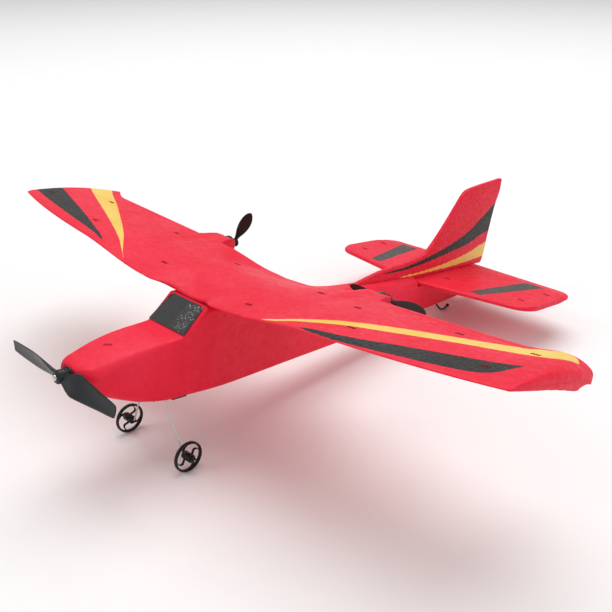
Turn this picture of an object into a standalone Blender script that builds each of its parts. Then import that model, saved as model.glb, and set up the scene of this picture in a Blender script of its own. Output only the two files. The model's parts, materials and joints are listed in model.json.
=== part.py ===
"""A small radio-controlled high-wing monoplane in moulded foam, standing on its two wheels and tail skid.

The airframe is drawn level, with the nose propeller's hub as its origin: +X to port, +Y aft, +Z up. One empty
carries it all, tipped nose-up so that both wheels and the skid touch the ground, with the ground at Z = 0.
"""

import math

import bmesh
import bpy
import numpy as np
from mathutils import Matrix, Vector

MM = 0.001
GAP = 0.3 * MM
PRESS_GAP = 0.1 * MM
OVERCUT = 1.0 * MM
PAST_END = 50 * MM

# Wing
WING_SPAN = 350 * MM
WING_ROOT_LE = 61.5 * MM
WING_CHORD = 67 * MM
WING_SKIN = 4.2 * MM
WING_TRAILING_EDGE = 1.4 * MM
WING_CAMBER = 1.2 * MM
WING_INCIDENCE_RISE = 1.8 * MM
WING_ROOT_HEIGHT = 30.6 * MM
DIHEDRAL_SLOPE = 0.052
TIP_SWEEP = 15 * MM
TIP_RAKE = 11 * MM
TIP_BOW = 3.5 * MM
TIP_DROOP = 11 * MM
ROOT_DROOP = 3.9 * MM
ROOT_FAIRING = 24 * MM
ROOT_FILLET = 6 * MM
ROOT_DIP = 5.8 * MM

# Fuselage
NOSE_FACE = 4.2 * MM
SCREEN_FOOT = 55.2 * MM
SCREEN_HEAD = 68.6 * MM
WING_SEAT = 24.0 * MM
SEAT_FALL = 1.9 * MM
DECK_END = 172 * MM
TAIL_END = 322 * MM
COWL_WIDTH = 29.4 * MM
CABIN_WIDTH = 32.4 * MM
TAIL_WIDTH = 6.8 * MM
COWL_HEIGHT = 11.6 * MM
BELLY_DEPTH = 19.9 * MM
TAIL_TOP = 5.0 * MM
TAIL_DEPTH = 12.0 * MM
CABIN_EDGE = 2.6 * MM

# Tail surfaces
STABILISER_SPAN = 153 * MM
STABILISER_LE = 246 * MM
STABILISER_SWEEP = 17 * MM
STABILISER_TOP = 6.9 * MM
STABILISER_SKIN = 3.0 * MM
STABILISER_CORNER = 11 * MM
FIN_START = 188 * MM
FIN_HEIGHT = 66.3 * MM
FIN_THICKNESS = 3.2 * MM
FIN_TENON = 4.0 * MM
FIN_OVERHANG = 15.4 * MM

# Nose propeller and its axle
NOSE_PROP_RADIUS = 42 * MM
NOSE_HUB_RADIUS = 3.2 * MM
NOSE_HUB_LENGTH = 5.2 * MM
NOSE_AXLE_RADIUS = 0.5 * MM
NOSE_AXLE_LENGTH = 17 * MM
AXLE_CLEARANCE = 0.3 * MM
NOSE_BUSH_RADIUS = 2.3 * MM
NOSE_BUSH_FLANGE = 3.6 * MM
NOSE_AXLE_HEAD = 1.5 * MM
NOSE_COLLAR_RADIUS = 1.6 * MM
NOSE_COLLAR_LENGTH = 1.6 * MM

# Motors and pusher propellers
MOTOR_SPACING = 117.6 * MM
MOTOR_HEIGHT = 27.9 * MM
PUSHER_PLANE = 147.0 * MM
MOTOR_RADIUS = 3.5 * MM
MOTOR_LENGTH = 16 * MM
HOLDER_WALL = 0.8 * MM
HOLDER_LENGTH = 9 * MM
NACELLE_WALL = 0.9 * MM
NACELLE_HALF_WIDTH = 15 * MM
CAN_WALL = 0.5 * MM
CAN_END = 3.0 * MM
END_CAP_LENGTH = 2.2 * MM
PUSHER_RADIUS = 24.5 * MM
PUSHER_CHORD = 6.6 * MM
PUSHER_HUB_RADIUS = 2.5 * MM
PUSHER_HUB_LENGTH = 4.6 * MM
MOTOR_SHAFT_RADIUS = 0.5 * MM
PUSHER_GAP = 0.5 * MM

# Undercarriage
WHEEL_RADIUS = 7.9 * MM
WHEEL_TRACK = 49.0 * MM
WHEEL_STATION = 53.3 * MM
WHEEL_DROP = 46.06 * MM
WHEEL_WIDTH = 2.2 * MM
WHEEL_RIM = 1.2 * MM
WHEEL_HUB_RADIUS = 2.1 * MM
WHEEL_HUB_LENGTH = 6.2 * MM
WHEEL_CAP_WIDTH = 1.2 * MM
WHEEL_CAP_RADIUS = 1.5 * MM
TREAD_EDGE = 0.35 * MM
SPOKE_WIDTH = 1.1 * MM
SPOKE_DEPTH = 1.5 * MM
SPOKE_SWEEP = 0.75
GEAR_WIRE_RADIUS = 0.45 * MM
GEAR_WIRE_ROOT = 7.0 * MM
SKID_STATION = 281 * MM
SKID_REACH = 8.2 * MM
SKID_DROP = 21.45 * MM
SKID_RADIUS = 0.6 * MM
SKID_BEAD_RADIUS = 1.15 * MM

# Belly bay and what it holds
BAY_START = 42 * MM
BAY_LENGTH = 34 * MM
BAY_WIDTH = 21 * MM
BAY_COVER = 1.5 * MM
TUB_WALL = 0.9 * MM
WIRE_ROOM = 2.0 * MM
CHIP_ROOM = 2.0 * MM
BOARD_GAP = 0.5 * MM
BATTERY_SIZE = (16 * MM, 28 * MM, 6.5 * MM)
BOARD_SIZE = (15 * MM, 26 * MM, 1.0 * MM)
SWITCH_SIZE = (13 * MM, 8.6 * MM)
SWITCH_PROUD = 4.4 * MM
SWITCH_TRAVEL = 2.0 * MM
SWITCH_STATION = 60.6 * MM
SOCKET_SIZE = (7 * MM, 4.4 * MM)
SCREW_RADIUS = 0.7 * MM
SCREW_HEAD_RADIUS = 1.26 * MM
SCREW_HEAD = 0.5 * MM
SCREW_LENGTH = 5.0 * MM
SLIDE_SIZE = (6.8 * MM, 2.4 * MM)
SLIDE_DEPTH = 1.6 * MM
SLIDE_PROUD = 1.0 * MM
CLAMP_SIZE = (9.0 * MM, 4.4 * MM, 2.2 * MM)
LEAD_SPREAD = 4.5 * MM
LEAD_RADIUS = 0.6 * MM

WHEEL_SIDES = 32
ROUND_SIDES = 20


def smooth_step(value):
    t = np.clip(value, 0.0, 1.0)
    return t * t * (3 - 2 * t)


def through(stations, at):
    """Reads a smooth curve that passes through (place, value) stations without overshooting them."""
    place, value = (np.array(column, float) for column in zip(*stations))
    slope = np.diff(value) / np.diff(place)
    tangent = np.zeros(len(place))
    for i in range(1, len(place) - 1):
        if slope[i - 1] * slope[i] > 0:
            tangent[i] = 2 * slope[i - 1] * slope[i] / (slope[i - 1] + slope[i])
    tangent[0], tangent[-1] = slope[0], slope[-1]
    i = int(np.clip(np.searchsorted(place, at) - 1, 0, len(place) - 2))
    width = place[i + 1] - place[i]
    t = float(np.clip((at - place[i]) / width, 0, 1))
    start = value[i] * (1 + 2 * t) * (1 - t) ** 2 + value[i + 1] * t * t * (3 - 2 * t)
    return start + width * (tangent[i] * t * (1 - t) ** 2 - tangent[i + 1] * t * t * (1 - t))


def finish(name, colour, roughness, metallic=0.0):
    material = bpy.data.materials.get(name)
    if material is None:
        material = bpy.data.materials.new(name)
        material.use_nodes = True
        shader = material.node_tree.nodes["Principled BSDF"]
        shader.inputs["Base Color"].default_value = (*colour, 1.0)
        shader.inputs["Roughness"].default_value = roughness
        shader.inputs["Metallic"].default_value = metallic
    return material


def red_foam():
    return finish("red_foam", (0.80, 0.035, 0.07), 0.6)


def black_plastic():
    return finish("black_plastic", (0.02, 0.02, 0.02), 0.4)


def bright_steel():
    return finish("bright_steel", (0.62, 0.6, 0.57), 0.3, 1.0)


def place(name, mesh, material, parent, location=(0, 0, 0), crease=math.radians(35)):
    """Puts a mesh in the scene under its parent, shaded smooth except over sharp edges."""
    obj = bpy.data.objects.new(name, mesh)
    bpy.context.scene.collection.objects.link(obj)
    obj.parent = parent
    obj.location = location
    mesh.materials.append(material)
    mesh.shade_smooth()
    mesh.set_sharp_from_angle(angle=crease)
    return obj


def empty(name, parent, location):
    obj = bpy.data.objects.new(name, None)
    bpy.context.scene.collection.objects.link(obj)
    obj.parent = parent
    obj.location = location
    return obj


def mesh_of(shape, name="shape"):
    bmesh.ops.recalc_face_normals(shape, faces=shape.faces[:])
    mesh = bpy.data.meshes.new(name)
    shape.to_mesh(mesh)
    shape.free()
    return mesh


def loft(rings):
    """A closed solid through rings of equally many points, with a flat cap at each end."""
    shape = bmesh.new()
    loops = [[shape.verts.new(point) for point in ring] for ring in rings]
    for near, far in zip(loops, loops[1:]):
        for i in range(len(near)):
            j = (i + 1) % len(near)
            shape.faces.new((near[i], near[j], far[j], far[i]))
    shape.faces.new(loops[0])
    shape.faces.new(loops[-1])
    return mesh_of(shape)


def turned(profile, sides=ROUND_SIDES, axis="Y"):
    """A ring or disc turned about an axis from (along, radius) points; a radius of zero closes it."""
    shape = bmesh.new()
    rings = []
    for along, radius in profile:
        if radius == 0:
            rings.append([shape.verts.new((along, 0, 0))] * sides)
            continue
        turns = [2 * math.pi * i / sides for i in range(sides)]
        rings.append([shape.verts.new((along, radius * math.cos(a), radius * math.sin(a))) for a in turns])
    closed = profile[0][1] != 0
    pairs = list(zip(rings, rings[1:])) + ([(rings[-1], rings[0])] if closed else [])
    for near, far in pairs:
        for i in range(sides):
            j = (i + 1) % sides
            corners = []
            for vert in (near[i], near[j], far[j], far[i]):
                if vert not in corners:
                    corners.append(vert)
            shape.faces.new(corners)
    if axis == "Y":
        bmesh.ops.rotate(shape, matrix=Matrix.Rotation(math.pi / 2, 3, "Z"), verts=shape.verts)
    if axis == "Z":
        bmesh.ops.rotate(shape, matrix=Matrix.Rotation(-math.pi / 2, 3, "Y"), verts=shape.verts)
    return mesh_of(shape)


def block(low, high):
    shape = bmesh.new()
    bmesh.ops.create_cube(shape, size=1)
    low, high = Vector(low), Vector(high)
    for vert in shape.verts:
        vert.co = Vector(((low[i] + high[i]) / 2 + vert.co[i] * (high[i] - low[i]) for i in range(3)))
    return mesh_of(shape)


def tube(points, radius, sides=8):
    """A closed round bar along a list of points, with its rings set square to the path."""
    points = [Vector(point) for point in points]
    rings = []
    normal = None
    for i, point in enumerate(points):
        along = (points[min(i + 1, len(points) - 1)] - points[max(i - 1, 0)]).normalized()
        if normal is None:
            normal = along.orthogonal().normalized()
        normal = (normal - along * normal.dot(along)).normalized()
        across = along.cross(normal)
        turns = [2 * math.pi * k / sides for k in range(sides)]
        rings.append([point + radius * (math.cos(a) * normal + math.sin(a) * across) for a in turns])
    return loft(rings)


def rounded_path(corners, bend, steps=4):
    """Swaps each inner corner of a path for a short arc that starts and ends the bend's length away."""
    corners = [Vector(corner) for corner in corners]
    path = [corners[0]]
    for before, corner, after in zip(corners, corners[1:], corners[2:]):
        start = corner + (before - corner).normalized() * min(bend, (before - corner).length * 0.45)
        end = corner + (after - corner).normalized() * min(bend, (after - corner).length * 0.45)
        for i in range(steps + 1):
            t = i / steps
            path.append(start * (1 - t) ** 2 + corner * 2 * t * (1 - t) + end * t * t)
    path.append(corners[-1])
    return path


def cutter(mesh, parent, location=(0, 0, 0)):
    obj = bpy.data.objects.new("cutter", mesh)
    bpy.context.scene.collection.objects.link(obj)
    obj.parent = parent
    obj.location = location
    obj.hide_render = True
    obj.display_type = "WIRE"
    return obj


def join_or_cut(obj, other, operation):
    change = obj.modifiers.new(operation.lower(), "BOOLEAN")
    change.operation = operation
    change.object = other


def cut(obj, other):
    join_or_cut(obj, other, "DIFFERENCE")


def add(obj, other):
    join_or_cut(obj, other, "UNION")


# Wing shape, shared by the foam, the motor pockets and the lead channels

HALF_SPAN = WING_SPAN / 2
MOTOR_X = MOTOR_SPACING / 2
TRAILING_EDGE = WING_ROOT_LE + WING_CHORD
MOTOR_REAR = PUSHER_PLANE - PUSHER_HUB_LENGTH / 2 - PUSHER_GAP
NACELLE_REAR = MOTOR_REAR - 1.0 * MM
NACELLE_TOP = MOTOR_HEIGHT + MOTOR_RADIUS + NACELLE_WALL + HOLDER_WALL
TIP_FRONT = WING_ROOT_LE + TIP_SWEEP
TIP_REAR = TRAILING_EDGE + TIP_RAKE
TIP_CORNER = HALF_SPAN - TIP_BOW
SEAT_BREAK = WING_ROOT_LE + WING_CHORD / 2


def wing_leading_edge(x):
    x = abs(x)
    outer = WING_ROOT_LE + TIP_SWEEP * (x / HALF_SPAN) ** 3.2
    inner = SCREEN_HEAD + 2 * GAP
    tip = 0.85 * (TIP_REAR - TIP_FRONT) * (1 - math.sqrt(min(1.0, (HALF_SPAN - x) / TIP_BOW)))
    return inner + (outer - inner) * smooth_step((x - CABIN_WIDTH * 0.33) / (ROOT_FAIRING * 0.55)) + tip


def nacelle_bulge(x):
    """How strongly the wing swells round the motor at this place along the span, from 0 to 1."""
    off = abs(abs(x) - MOTOR_X) / NACELLE_HALF_WIDTH
    return float((1 - smooth_step(off)) ** 1.3)


def rear_fairing(x):
    """How far the wing's rear is drawn down and back into the deck here, from 0 to 1."""
    return 1 - smooth_step((abs(x) - 14 * MM) / (28 * MM))


def wing_trailing_edge(x):
    edge = TRAILING_EDGE + (NACELLE_REAR - TRAILING_EDGE) * smooth_step(2.2 * nacelle_bulge(x) - 0.3)
    root = ROOT_FILLET * rear_fairing(x)
    rake = TIP_RAKE * smooth_step((abs(x) - HALF_SPAN + 30 * MM) / (27 * MM))
    rounding = 5 * MM * max(0.0, (abs(x) - TIP_CORNER) / TIP_BOW) ** 3
    return edge + root + rake - rounding


def tip_drop(x, y):
    """How far the tip curls down at a point: the curl starts on a curved crest and is deepest at the rear."""
    run = min(1.0, max(0.0, (y - TIP_FRONT) / (TIP_REAR - TIP_FRONT)))
    crest = TIP_CORNER - 18 * MM * run**3
    edge = HALF_SPAN - TIP_BOW * (1 - run) ** 2
    out = min(1.0, max(0.0, (abs(x) - crest) / max(edge - crest, GAP)))
    return TIP_DROOP * run * (1 - math.sqrt(1 - out * out))


def wing_plane(x, y):
    """Height of the wing's reference surface, before camber and root fairing."""
    return WING_ROOT_HEIGHT + DIHEDRAL_SLOPE * abs(x) - tip_drop(x, y)


def seat_height(y):
    """Height of the cabin top that the wing sits on: level, then falling towards the deck."""
    fall = (y - SEAT_BREAK) / (wing_trailing_edge(0) - SEAT_BREAK)
    return WING_SEAT - SEAT_FALL * min(1.0, max(0.0, fall))


def wing_thickness(u):
    """Thickness at a share of the chord: a fine leading edge, thickest at a third, thin at the rear."""
    grow = 0.4 + 0.6 * smooth_step(u / 0.3)
    thin = smooth_step((u - 0.3) / 0.7)
    return WING_SKIN * grow + (WING_TRAILING_EDGE - WING_SKIN) * thin


def wing_section(x, chordwise=11):
    """One closed ring round the wing at x, over the top from the leading edge and back underneath."""
    front, rear = wing_leading_edge(x), wing_trailing_edge(x)
    fairing = 1 - smooth_step(abs(x) / ROOT_FAIRING)
    bulge = nacelle_bulge(x)
    dip = ROOT_DIP * rear_fairing(x)
    top, bottom = [], []
    for i in range(chordwise + 1):
        u = 0.5 - 0.5 * math.cos(math.pi * i / chordwise)
        y = front + (rear - front) * u
        nose = math.sqrt(1 - (1 - min(1.0, u / 0.06)) ** 2)
        rise = WING_INCIDENCE_RISE * (1 - u) - 0.6 * MM * u
        droop = ROOT_DROOP * (1 - smooth_step((abs(x) - 32 * MM) / (55 * MM))) * (1 - smooth_step(u / 0.45))
        high = wing_plane(x, y) + rise + WING_CAMBER * math.sin(math.pi * u) - droop
        low = high - wing_thickness(u)
        rear_dip = smooth_step((u - 0.45) / 0.55)
        front_dip = 1 - smooth_step(u / 0.22)
        floor = seat_height(y) + GAP
        high -= (high - floor - 1.6 * MM) * front_dip * fairing + dip * rear_dip
        low -= dip * rear_dip
        low += (floor - low) * smooth_step(1.9 * fairing)
        middle = (high + low) / 2
        high = middle + (high - middle) * max(nose, 0.0)
        low = middle + (low - middle) * max(nose, 0.0) ** (1 - fairing)
        along = smooth_step((y - front - 0.34 * WING_CHORD) / (0.66 * WING_CHORD))
        reach = smooth_step((y - front - 0.5 * WING_CHORD) / (0.22 * WING_CHORD))
        peak = NACELLE_TOP - 2.2 * MM * smooth_step((y - NACELLE_REAR + 5 * MM) / (5 * MM))
        high += (peak - high) * bulge * along
        low = min(low, low + (2 * MOTOR_HEIGHT - NACELLE_TOP - low) * bulge * reach)
        top.append((x, y, high))
        bottom.append((x, y, low))
    return top + bottom[:0:-1]


def wing_middle(x, y):
    """Height halfway through the wing at a point, where a lead can run inside it."""
    ring = wing_section(x)
    half = len(ring) // 2
    top = sorted((point[1], point[2]) for point in ring[: half + 1])
    low = sorted((point[1], point[2]) for point in [ring[0]] + ring[half:])
    ys, zs = zip(*top)
    ys_low, zs_low = zip(*low)
    return float(np.interp(y, ys, zs) + np.interp(y, ys_low, zs_low)) / 2


def wing_stations():
    """Places along the half span: even steps, with more of them over each nacelle and at the tip."""
    inner = [0, 5, 9, 12, 15, 18, 21, 25, 32]
    over_motor = [MOTOR_X + NACELLE_HALF_WIDTH * k / 5 for k in range(-5, 6)]
    outer = [MOTOR_X + NACELLE_HALF_WIDTH + 10 * MM, 100 * MM, 118 * MM]
    tip = [HALF_SPAN - back * MM for back in (44, 34, 27, 22, 18, 14, 10.5, 7.5, 5, 3.5, 2.3, 1.3, 0.6, 0.2)]
    places = [station * MM for station in inner] + over_motor + outer + tip
    return sorted(places)


# Fuselage shape

AFT = TAIL_END - DECK_END


def body_half_width(y):
    nose = NOSE_FACE + 9 * MM
    if y < nose:
        turn = math.sqrt(max(0.0, 1 - ((nose - y) / (nose - NOSE_FACE)) ** 2))
        return 5.5 * MM + (COWL_WIDTH / 2 - 0.8 * MM - 5.5 * MM) * turn
    return through(
        (
            (nose, COWL_WIDTH / 2 - 0.8 * MM),
            (SCREEN_FOOT * 0.6, COWL_WIDTH / 2),
            (SCREEN_FOOT, COWL_WIDTH / 2 + 0.4 * MM),
            (SCREEN_HEAD + 8 * MM, CABIN_WIDTH / 2),
            (WING_ROOT_LE + WING_CHORD * 0.6, CABIN_WIDTH / 2 - 1.2 * MM),
            (DECK_END, CABIN_WIDTH / 2 - 5.0 * MM),
            (DECK_END + AFT * 0.6, TAIL_WIDTH / 2 + 3.2 * MM),
            (TAIL_END, TAIL_WIDTH / 2),
        ),
        y,
    )


def body_top(y):
    nose = NOSE_FACE + 7 * MM
    edge = COWL_HEIGHT - 7.2 * MM
    if y < nose:
        turn = math.sqrt(max(0.0, 1 - ((nose - y) / (nose - NOSE_FACE)) ** 2))
        return 1.5 * MM + (edge - 1.5 * MM) * turn
    if y < SCREEN_FOOT:
        return through(
            (
                (nose, edge),
                (nose + 10 * MM, edge + 2.8 * MM),
                (SCREEN_FOOT * 0.66, COWL_HEIGHT - 1.9 * MM),
                (SCREEN_FOOT, COWL_HEIGHT),
            ),
            y,
        )
    if y < SCREEN_HEAD:
        return COWL_HEIGHT + (WING_SEAT - COWL_HEIGHT) * (y - SCREEN_FOOT) / (SCREEN_HEAD - SCREEN_FOOT)
    seat_end = wing_trailing_edge(0)
    if y <= seat_end:
        return seat_height(y)
    seat = seat_height(seat_end)
    return through(
        (
            (seat_end, seat),
            (seat_end + 8 * MM, seat - 2.0 * MM),
            (seat_end + 21 * MM, seat - 6.6 * MM),
            (DECK_END, COWL_HEIGHT + 1.2 * MM),
            (DECK_END + AFT * 0.35, TAIL_TOP + 5.0 * MM),
            (TAIL_END, TAIL_TOP),
        ),
        y,
    )


def body_low(y):
    nose = NOSE_FACE + 7 * MM
    if y < nose:
        turn = math.sqrt(max(0.0, 1 - ((nose - y) / (nose - NOSE_FACE)) ** 2))
        return -4.0 * MM - 4.0 * MM * turn
    return through(
        (
            (nose, -8.0 * MM),
            (nose + 12 * MM, 0.66 * -BELLY_DEPTH),
            (nose + 25 * MM, 0.88 * -BELLY_DEPTH),
            (SCREEN_FOOT - 3 * MM, -BELLY_DEPTH),
            (BAY_START + BAY_LENGTH + 6 * MM, -BELLY_DEPTH),
            (TRAILING_EDGE, -BELLY_DEPTH + 1.0 * MM),
            (DECK_END, -BELLY_DEPTH + 1.9 * MM),
            (TAIL_END, -TAIL_DEPTH),
        ),
        y,
    )


def body_section(y):
    """A rounded box: small corners over the top, larger ones under the belly, a lightly crowned cowl."""
    half, high, low = body_half_width(y), body_top(y), body_low(y)
    soften = smooth_step((y - wing_trailing_edge(0)) / (30 * MM))
    upper = min(CABIN_EDGE + 6 * MM * soften, half * 0.8, (high - low) * 0.4)
    lower = min(CABIN_EDGE + 0.9 * MM, half * 0.8, (high - low) * 0.4)
    crown = 1.2 * MM * smooth_step((SCREEN_FOOT - 6 * MM - y) / (8 * MM))
    ring = [(0, y, high + crown)]
    corners = ((1, 1, upper, 90), (1, -1, lower, 0), (-1, -1, lower, 270), (-1, 1, upper, 180))
    for side, steep, radius, start in corners:
        centre_x = side * (half - radius)
        centre_z = high - radius if steep > 0 else low + radius
        for i in range(5):
            angle = math.radians(start - 90 * i / 4)
            ring.append((centre_x + radius * math.cos(angle), y, centre_z + radius * math.sin(angle)))
        if (side, steep) == (1, -1):
            ring.append((0, y, low))
    return ring


def body_stations():
    nose = [NOSE_FACE + back * MM for back in (0, 0.5, 1.4, 2.8, 4.6, 7, 9.5)]
    cowl = list(np.linspace(NOSE_FACE + 13 * MM, SCREEN_FOOT - 6 * MM, 5))
    screen = [SCREEN_FOOT, (SCREEN_FOOT + SCREEN_HEAD) / 2, SCREEN_HEAD]
    seat_end = wing_trailing_edge(0)
    cabin = [SCREEN_HEAD + 8 * MM, SEAT_BREAK] + list(np.linspace(SEAT_BREAK, seat_end, 4))[1:]
    deck = list(np.linspace(seat_end + 5 * MM, DECK_END, 7))
    tail = list(np.linspace(DECK_END + 16 * MM, TAIL_END - 3 * MM, 10)) + [TAIL_END]
    return nose + cowl + screen + cabin + deck + tail


def slot_cut(obj, low, high, parent):
    cut(obj, cutter(block(low, high), parent))


STABILISER_LOW = STABILISER_TOP - STABILISER_SKIN
FIN_TAIL = TAIL_END + 3.0 * MM


def lead_route(side):
    """From the circuit board up through the cabin foam and out along the wing to a motor."""
    board_end = BAY_START + BAY_LENGTH - 1.0 * MM
    start_z = bay_ceiling() - 3.0 * MM
    turn_y = WING_ROOT_LE + 0.55 * WING_CHORD
    route = [
        Vector((LEAD_SPREAD, board_end, start_z)),
        Vector((LEAD_SPREAD, board_end + 6 * MM, start_z)),
        Vector((9 * MM, turn_y, WING_SEAT - 1.5 * MM)),
        Vector((14 * MM, turn_y + 1 * MM, wing_middle(14 * MM, turn_y))),
    ]
    for share in (0.3, 0.6, 0.85):
        x = 14 * MM + (MOTOR_X - 14 * MM) * share
        y = turn_y + (motor_front() - turn_y) * share
        route.append(Vector((x, y, wing_middle(x, y))))
    route.append(Vector((MOTOR_X - 1.2 * MM, motor_front() - 1.2 * MM, MOTOR_HEIGHT)))
    return [Vector((side * point.x, point.y, point.z)) for point in rounded_path(route, 3 * MM, 3)]


def bay_floor():
    return -BELLY_DEPTH


def bay_ceiling():
    """The bay is as high as what it holds: cover, wire clamp, battery and board, one above another."""
    contents = CLAMP_SIZE[2] + WIRE_ROOM + BATTERY_SIZE[2] + BOARD_GAP + BOARD_SIZE[2] + CHIP_ROOM
    return bay_floor() + BAY_COVER + GAP + contents + GAP + TUB_WALL + GAP


def motor_front():
    """Front of the motor's end cap, the deepest thing in its pocket."""
    return MOTOR_REAR - MOTOR_LENGTH - END_CAP_LENGTH - 2 * GAP


def fuselage(airframe):
    rings = [body_section(y) for y in body_stations()]
    body = place("fuselage_foam", loft(rings), red_foam(), airframe)
    slot_cut(
        body,
        (-BAY_WIDTH / 2, BAY_START, bay_floor() - OVERCUT),
        (BAY_WIDTH / 2, BAY_START + BAY_LENGTH, bay_ceiling()),
        airframe,
    )
    seat = STABILISER_LOW - GAP
    end = TAIL_END + PAST_END
    slot_cut(body, (-PAST_END, STABILISER_LE - GAP, seat), (PAST_END, end, PAST_END), airframe)
    half = FIN_THICKNESS / 2 + GAP
    slot_floor = body_top(STABILISER_LE) - FIN_TENON - GAP
    slot_cut(body, (-half, FIN_START - GAP, slot_floor), (half, end, PAST_END), airframe)
    bore = NOSE_BUSH_RADIUS + GAP
    bore_end = bush_rear() + NOSE_COLLAR_LENGTH + 2.4 * MM
    cut(body, cutter(turned([(0, 0), (0, bore), (bore_end, bore), (bore_end, 0)]), airframe))
    for side in (-1, 1):
        cut(body, cutter(tube(lead_route(side), LEAD_RADIUS + GAP, 8), airframe))
    skid_hole = tube(skid_path()[:2], SKID_RADIUS + GAP, 10)
    cut(body, cutter(skid_hole, airframe))
    return body


def wing(airframe):
    half = wing_stations()
    rings = [wing_section(-x) for x in reversed(half[1:])] + [wing_section(x) for x in half]
    foam = place("wing_foam", loft(rings), red_foam(), airframe)
    for side in (-1, 1):
        radius = MOTOR_RADIUS + GAP
        collar = MOTOR_RADIUS + HOLDER_WALL + 2 * GAP
        rear = MOTOR_REAR + PAST_END
        step = MOTOR_REAR - HOLDER_LENGTH + 1.0 * MM - GAP
        floor = motor_front() - GAP
        outline = [(floor, 0), (floor, radius), (step, radius), (step, collar), (rear, collar), (rear, 0)]
        pocket = turned(outline)
        cut(foam, cutter(pocket, airframe, (side * MOTOR_X, 0, MOTOR_HEIGHT)))
        cut(foam, cutter(tube(lead_route(side), LEAD_RADIUS + GAP, 8), airframe))
    return foam


def stabiliser(airframe):
    half = STABILISER_SPAN / 2
    corner = STABILISER_CORNER

    def edges(x):
        """Leading and trailing edge at x, with both corners of the tip rounded off."""
        x = abs(x)
        front = STABILISER_LE + STABILISER_SWEEP * x / half
        rear = TAIL_END + 0.2 * MM - 2 * MM * x / half
        into = max(0.0, x - (half - corner)) / corner
        bite = corner * (1 - math.sqrt(max(0.0, 1 - min(into, 1.0) ** 2)))
        return front + bite, rear - bite

    def section(x):
        front, rear = edges(x)
        top, low = [], []
        for i in range(9):
            u = 0.5 - 0.5 * math.cos(math.pi * i / 8)
            round_nose = math.sqrt(1 - (1 - min(1.0, u / 0.05)) ** 2)
            thin = 1 - 0.55 * smooth_step((u - 0.82) / 0.18)
            middle = (STABILISER_TOP + STABILISER_LOW) / 2
            lift = STABILISER_SKIN / 2 * max(round_nose, 0.0) * thin
            y = front + (rear - front) * u
            top.append((x, y, middle + lift))
            low.append((x, y, middle - lift))
        return top + low[:0:-1]

    steps = [half - corner * (1 - math.sin(math.radians(turn))) for turn in (0, 25, 45, 60, 72, 82, 88)]
    places = [0, 12 * MM, 36 * MM] + steps
    rings = [section(-x) for x in reversed(places[1:])] + [section(x) for x in places]
    return place("stabiliser_foam", loft(rings), red_foam(), airframe)


def fin(airframe):
    """Flat foam fin with a long dorsal strake; its foot stands in the deck's slot and on the stabiliser."""
    foot = STABILISER_TOP + GAP
    root = body_top(STABILISER_LE) - FIN_TENON
    rise = FIN_HEIGHT
    shoulder = STABILISER_LE + FIN_OVERHANG
    outline = [
        (FIN_START, root),
        (FIN_START, body_top(FIN_START) - 0.4 * MM),
        (FIN_START + 14 * MM, body_top(FIN_START + 14 * MM) + 3.4 * MM),
        (FIN_START + 30 * MM, body_top(FIN_START + 30 * MM) + 6.9 * MM),
        (STABILISER_LE + 2 * MM, 19.8 * MM),
        (shoulder - 4 * MM, 21.7 * MM),
        (shoulder + 1 * MM, 25.4 * MM),
        (shoulder + 14.4 * MM, 39.3 * MM),
        (shoulder + 28.6 * MM, rise - 9.6 * MM),
        (shoulder + 33 * MM, rise - 5.9 * MM),
        (shoulder + 40.7 * MM, rise - 4.2 * MM),
        (FIN_TAIL + 10.3 * MM, rise),
        (FIN_TAIL + 10.2 * MM, rise - 6.9 * MM),
        (FIN_TAIL + 6.7 * MM, rise - 18.9 * MM),
        (FIN_TAIL + 3.6 * MM, 26.5 * MM),
        (FIN_TAIL + 1.8 * MM, 11.0 * MM),
        (FIN_TAIL, foot),
        (STABILISER_LE - 2 * GAP, foot),
        (STABILISER_LE - 2 * GAP, root),
    ]
    rings = [[(side * FIN_THICKNESS / 2, y, z) for y, z in outline] for side in (-1, 1)]
    blade = place("fin_foam", loft(rings), finish("red_foam_sheet", (0.74, 0.03, 0.06), 0.7), airframe)
    edge = blade.modifiers.new("soft_edge", "BEVEL")
    edge.width = 0.9 * MM
    edge.segments = 2
    edge.limit_method = "ANGLE"
    edge.angle_limit = math.radians(60)
    return blade


def windscreen(airframe):
    """Black film stuck to the sloping front of the cabin."""
    foot_y, foot_z = SCREEN_FOOT + 0.4 * MM, body_top(SCREEN_FOOT + 0.4 * MM)
    head_y, head_z = SCREEN_HEAD - 1.2 * MM, body_top(SCREEN_HEAD - 1.2 * MM)
    out = Vector((0, foot_z - head_z, head_y - foot_y)).normalized()
    foot_half = body_half_width(SCREEN_FOOT) - CABIN_EDGE
    head_half = body_half_width(SCREEN_HEAD) - CABIN_EDGE - 0.6 * MM
    foot = [(-foot_half, foot_y, foot_z), (foot_half, foot_y, foot_z)]
    corners = foot + [(head_half, head_y, head_z), (-head_half, head_y, head_z)]
    near = [Vector(corner) + out * GAP for corner in corners]
    far = [Vector(corner) + out * (GAP + 0.25 * MM) for corner in corners]
    film = finish("black_film", (0.02, 0.02, 0.02), 0.2)
    return place("windscreen_film", loft([near, far]), film, airframe)


def blade_mesh(stations, hand, turn):
    """A twisted blade along +X from (radius, chord, pitch, thickness) stations, then turned about Y."""
    rings = []
    for radius, chord, pitch, thickness in stations:
        along = Vector((0, math.sin(pitch) * hand, math.cos(pitch)))
        across = Vector((0, math.cos(pitch), -math.sin(pitch) * hand))
        ring = []
        for side, reach in ((1, (-0.5, -0.3, 0, 0.3, 0.5)), (-1, (0.3, 0, -0.3))):
            for share in reach:
                bulk = thickness / 2 * (1 - (2 * share) ** 2 * 0.75)
                ring.append(Vector((radius, 0, 0)) + along * chord * share + across * bulk * side)
        rings.append(ring)
    mesh = loft(rings)
    mesh.transform(Matrix.Rotation(turn, 4, "Y"))
    return mesh


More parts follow.
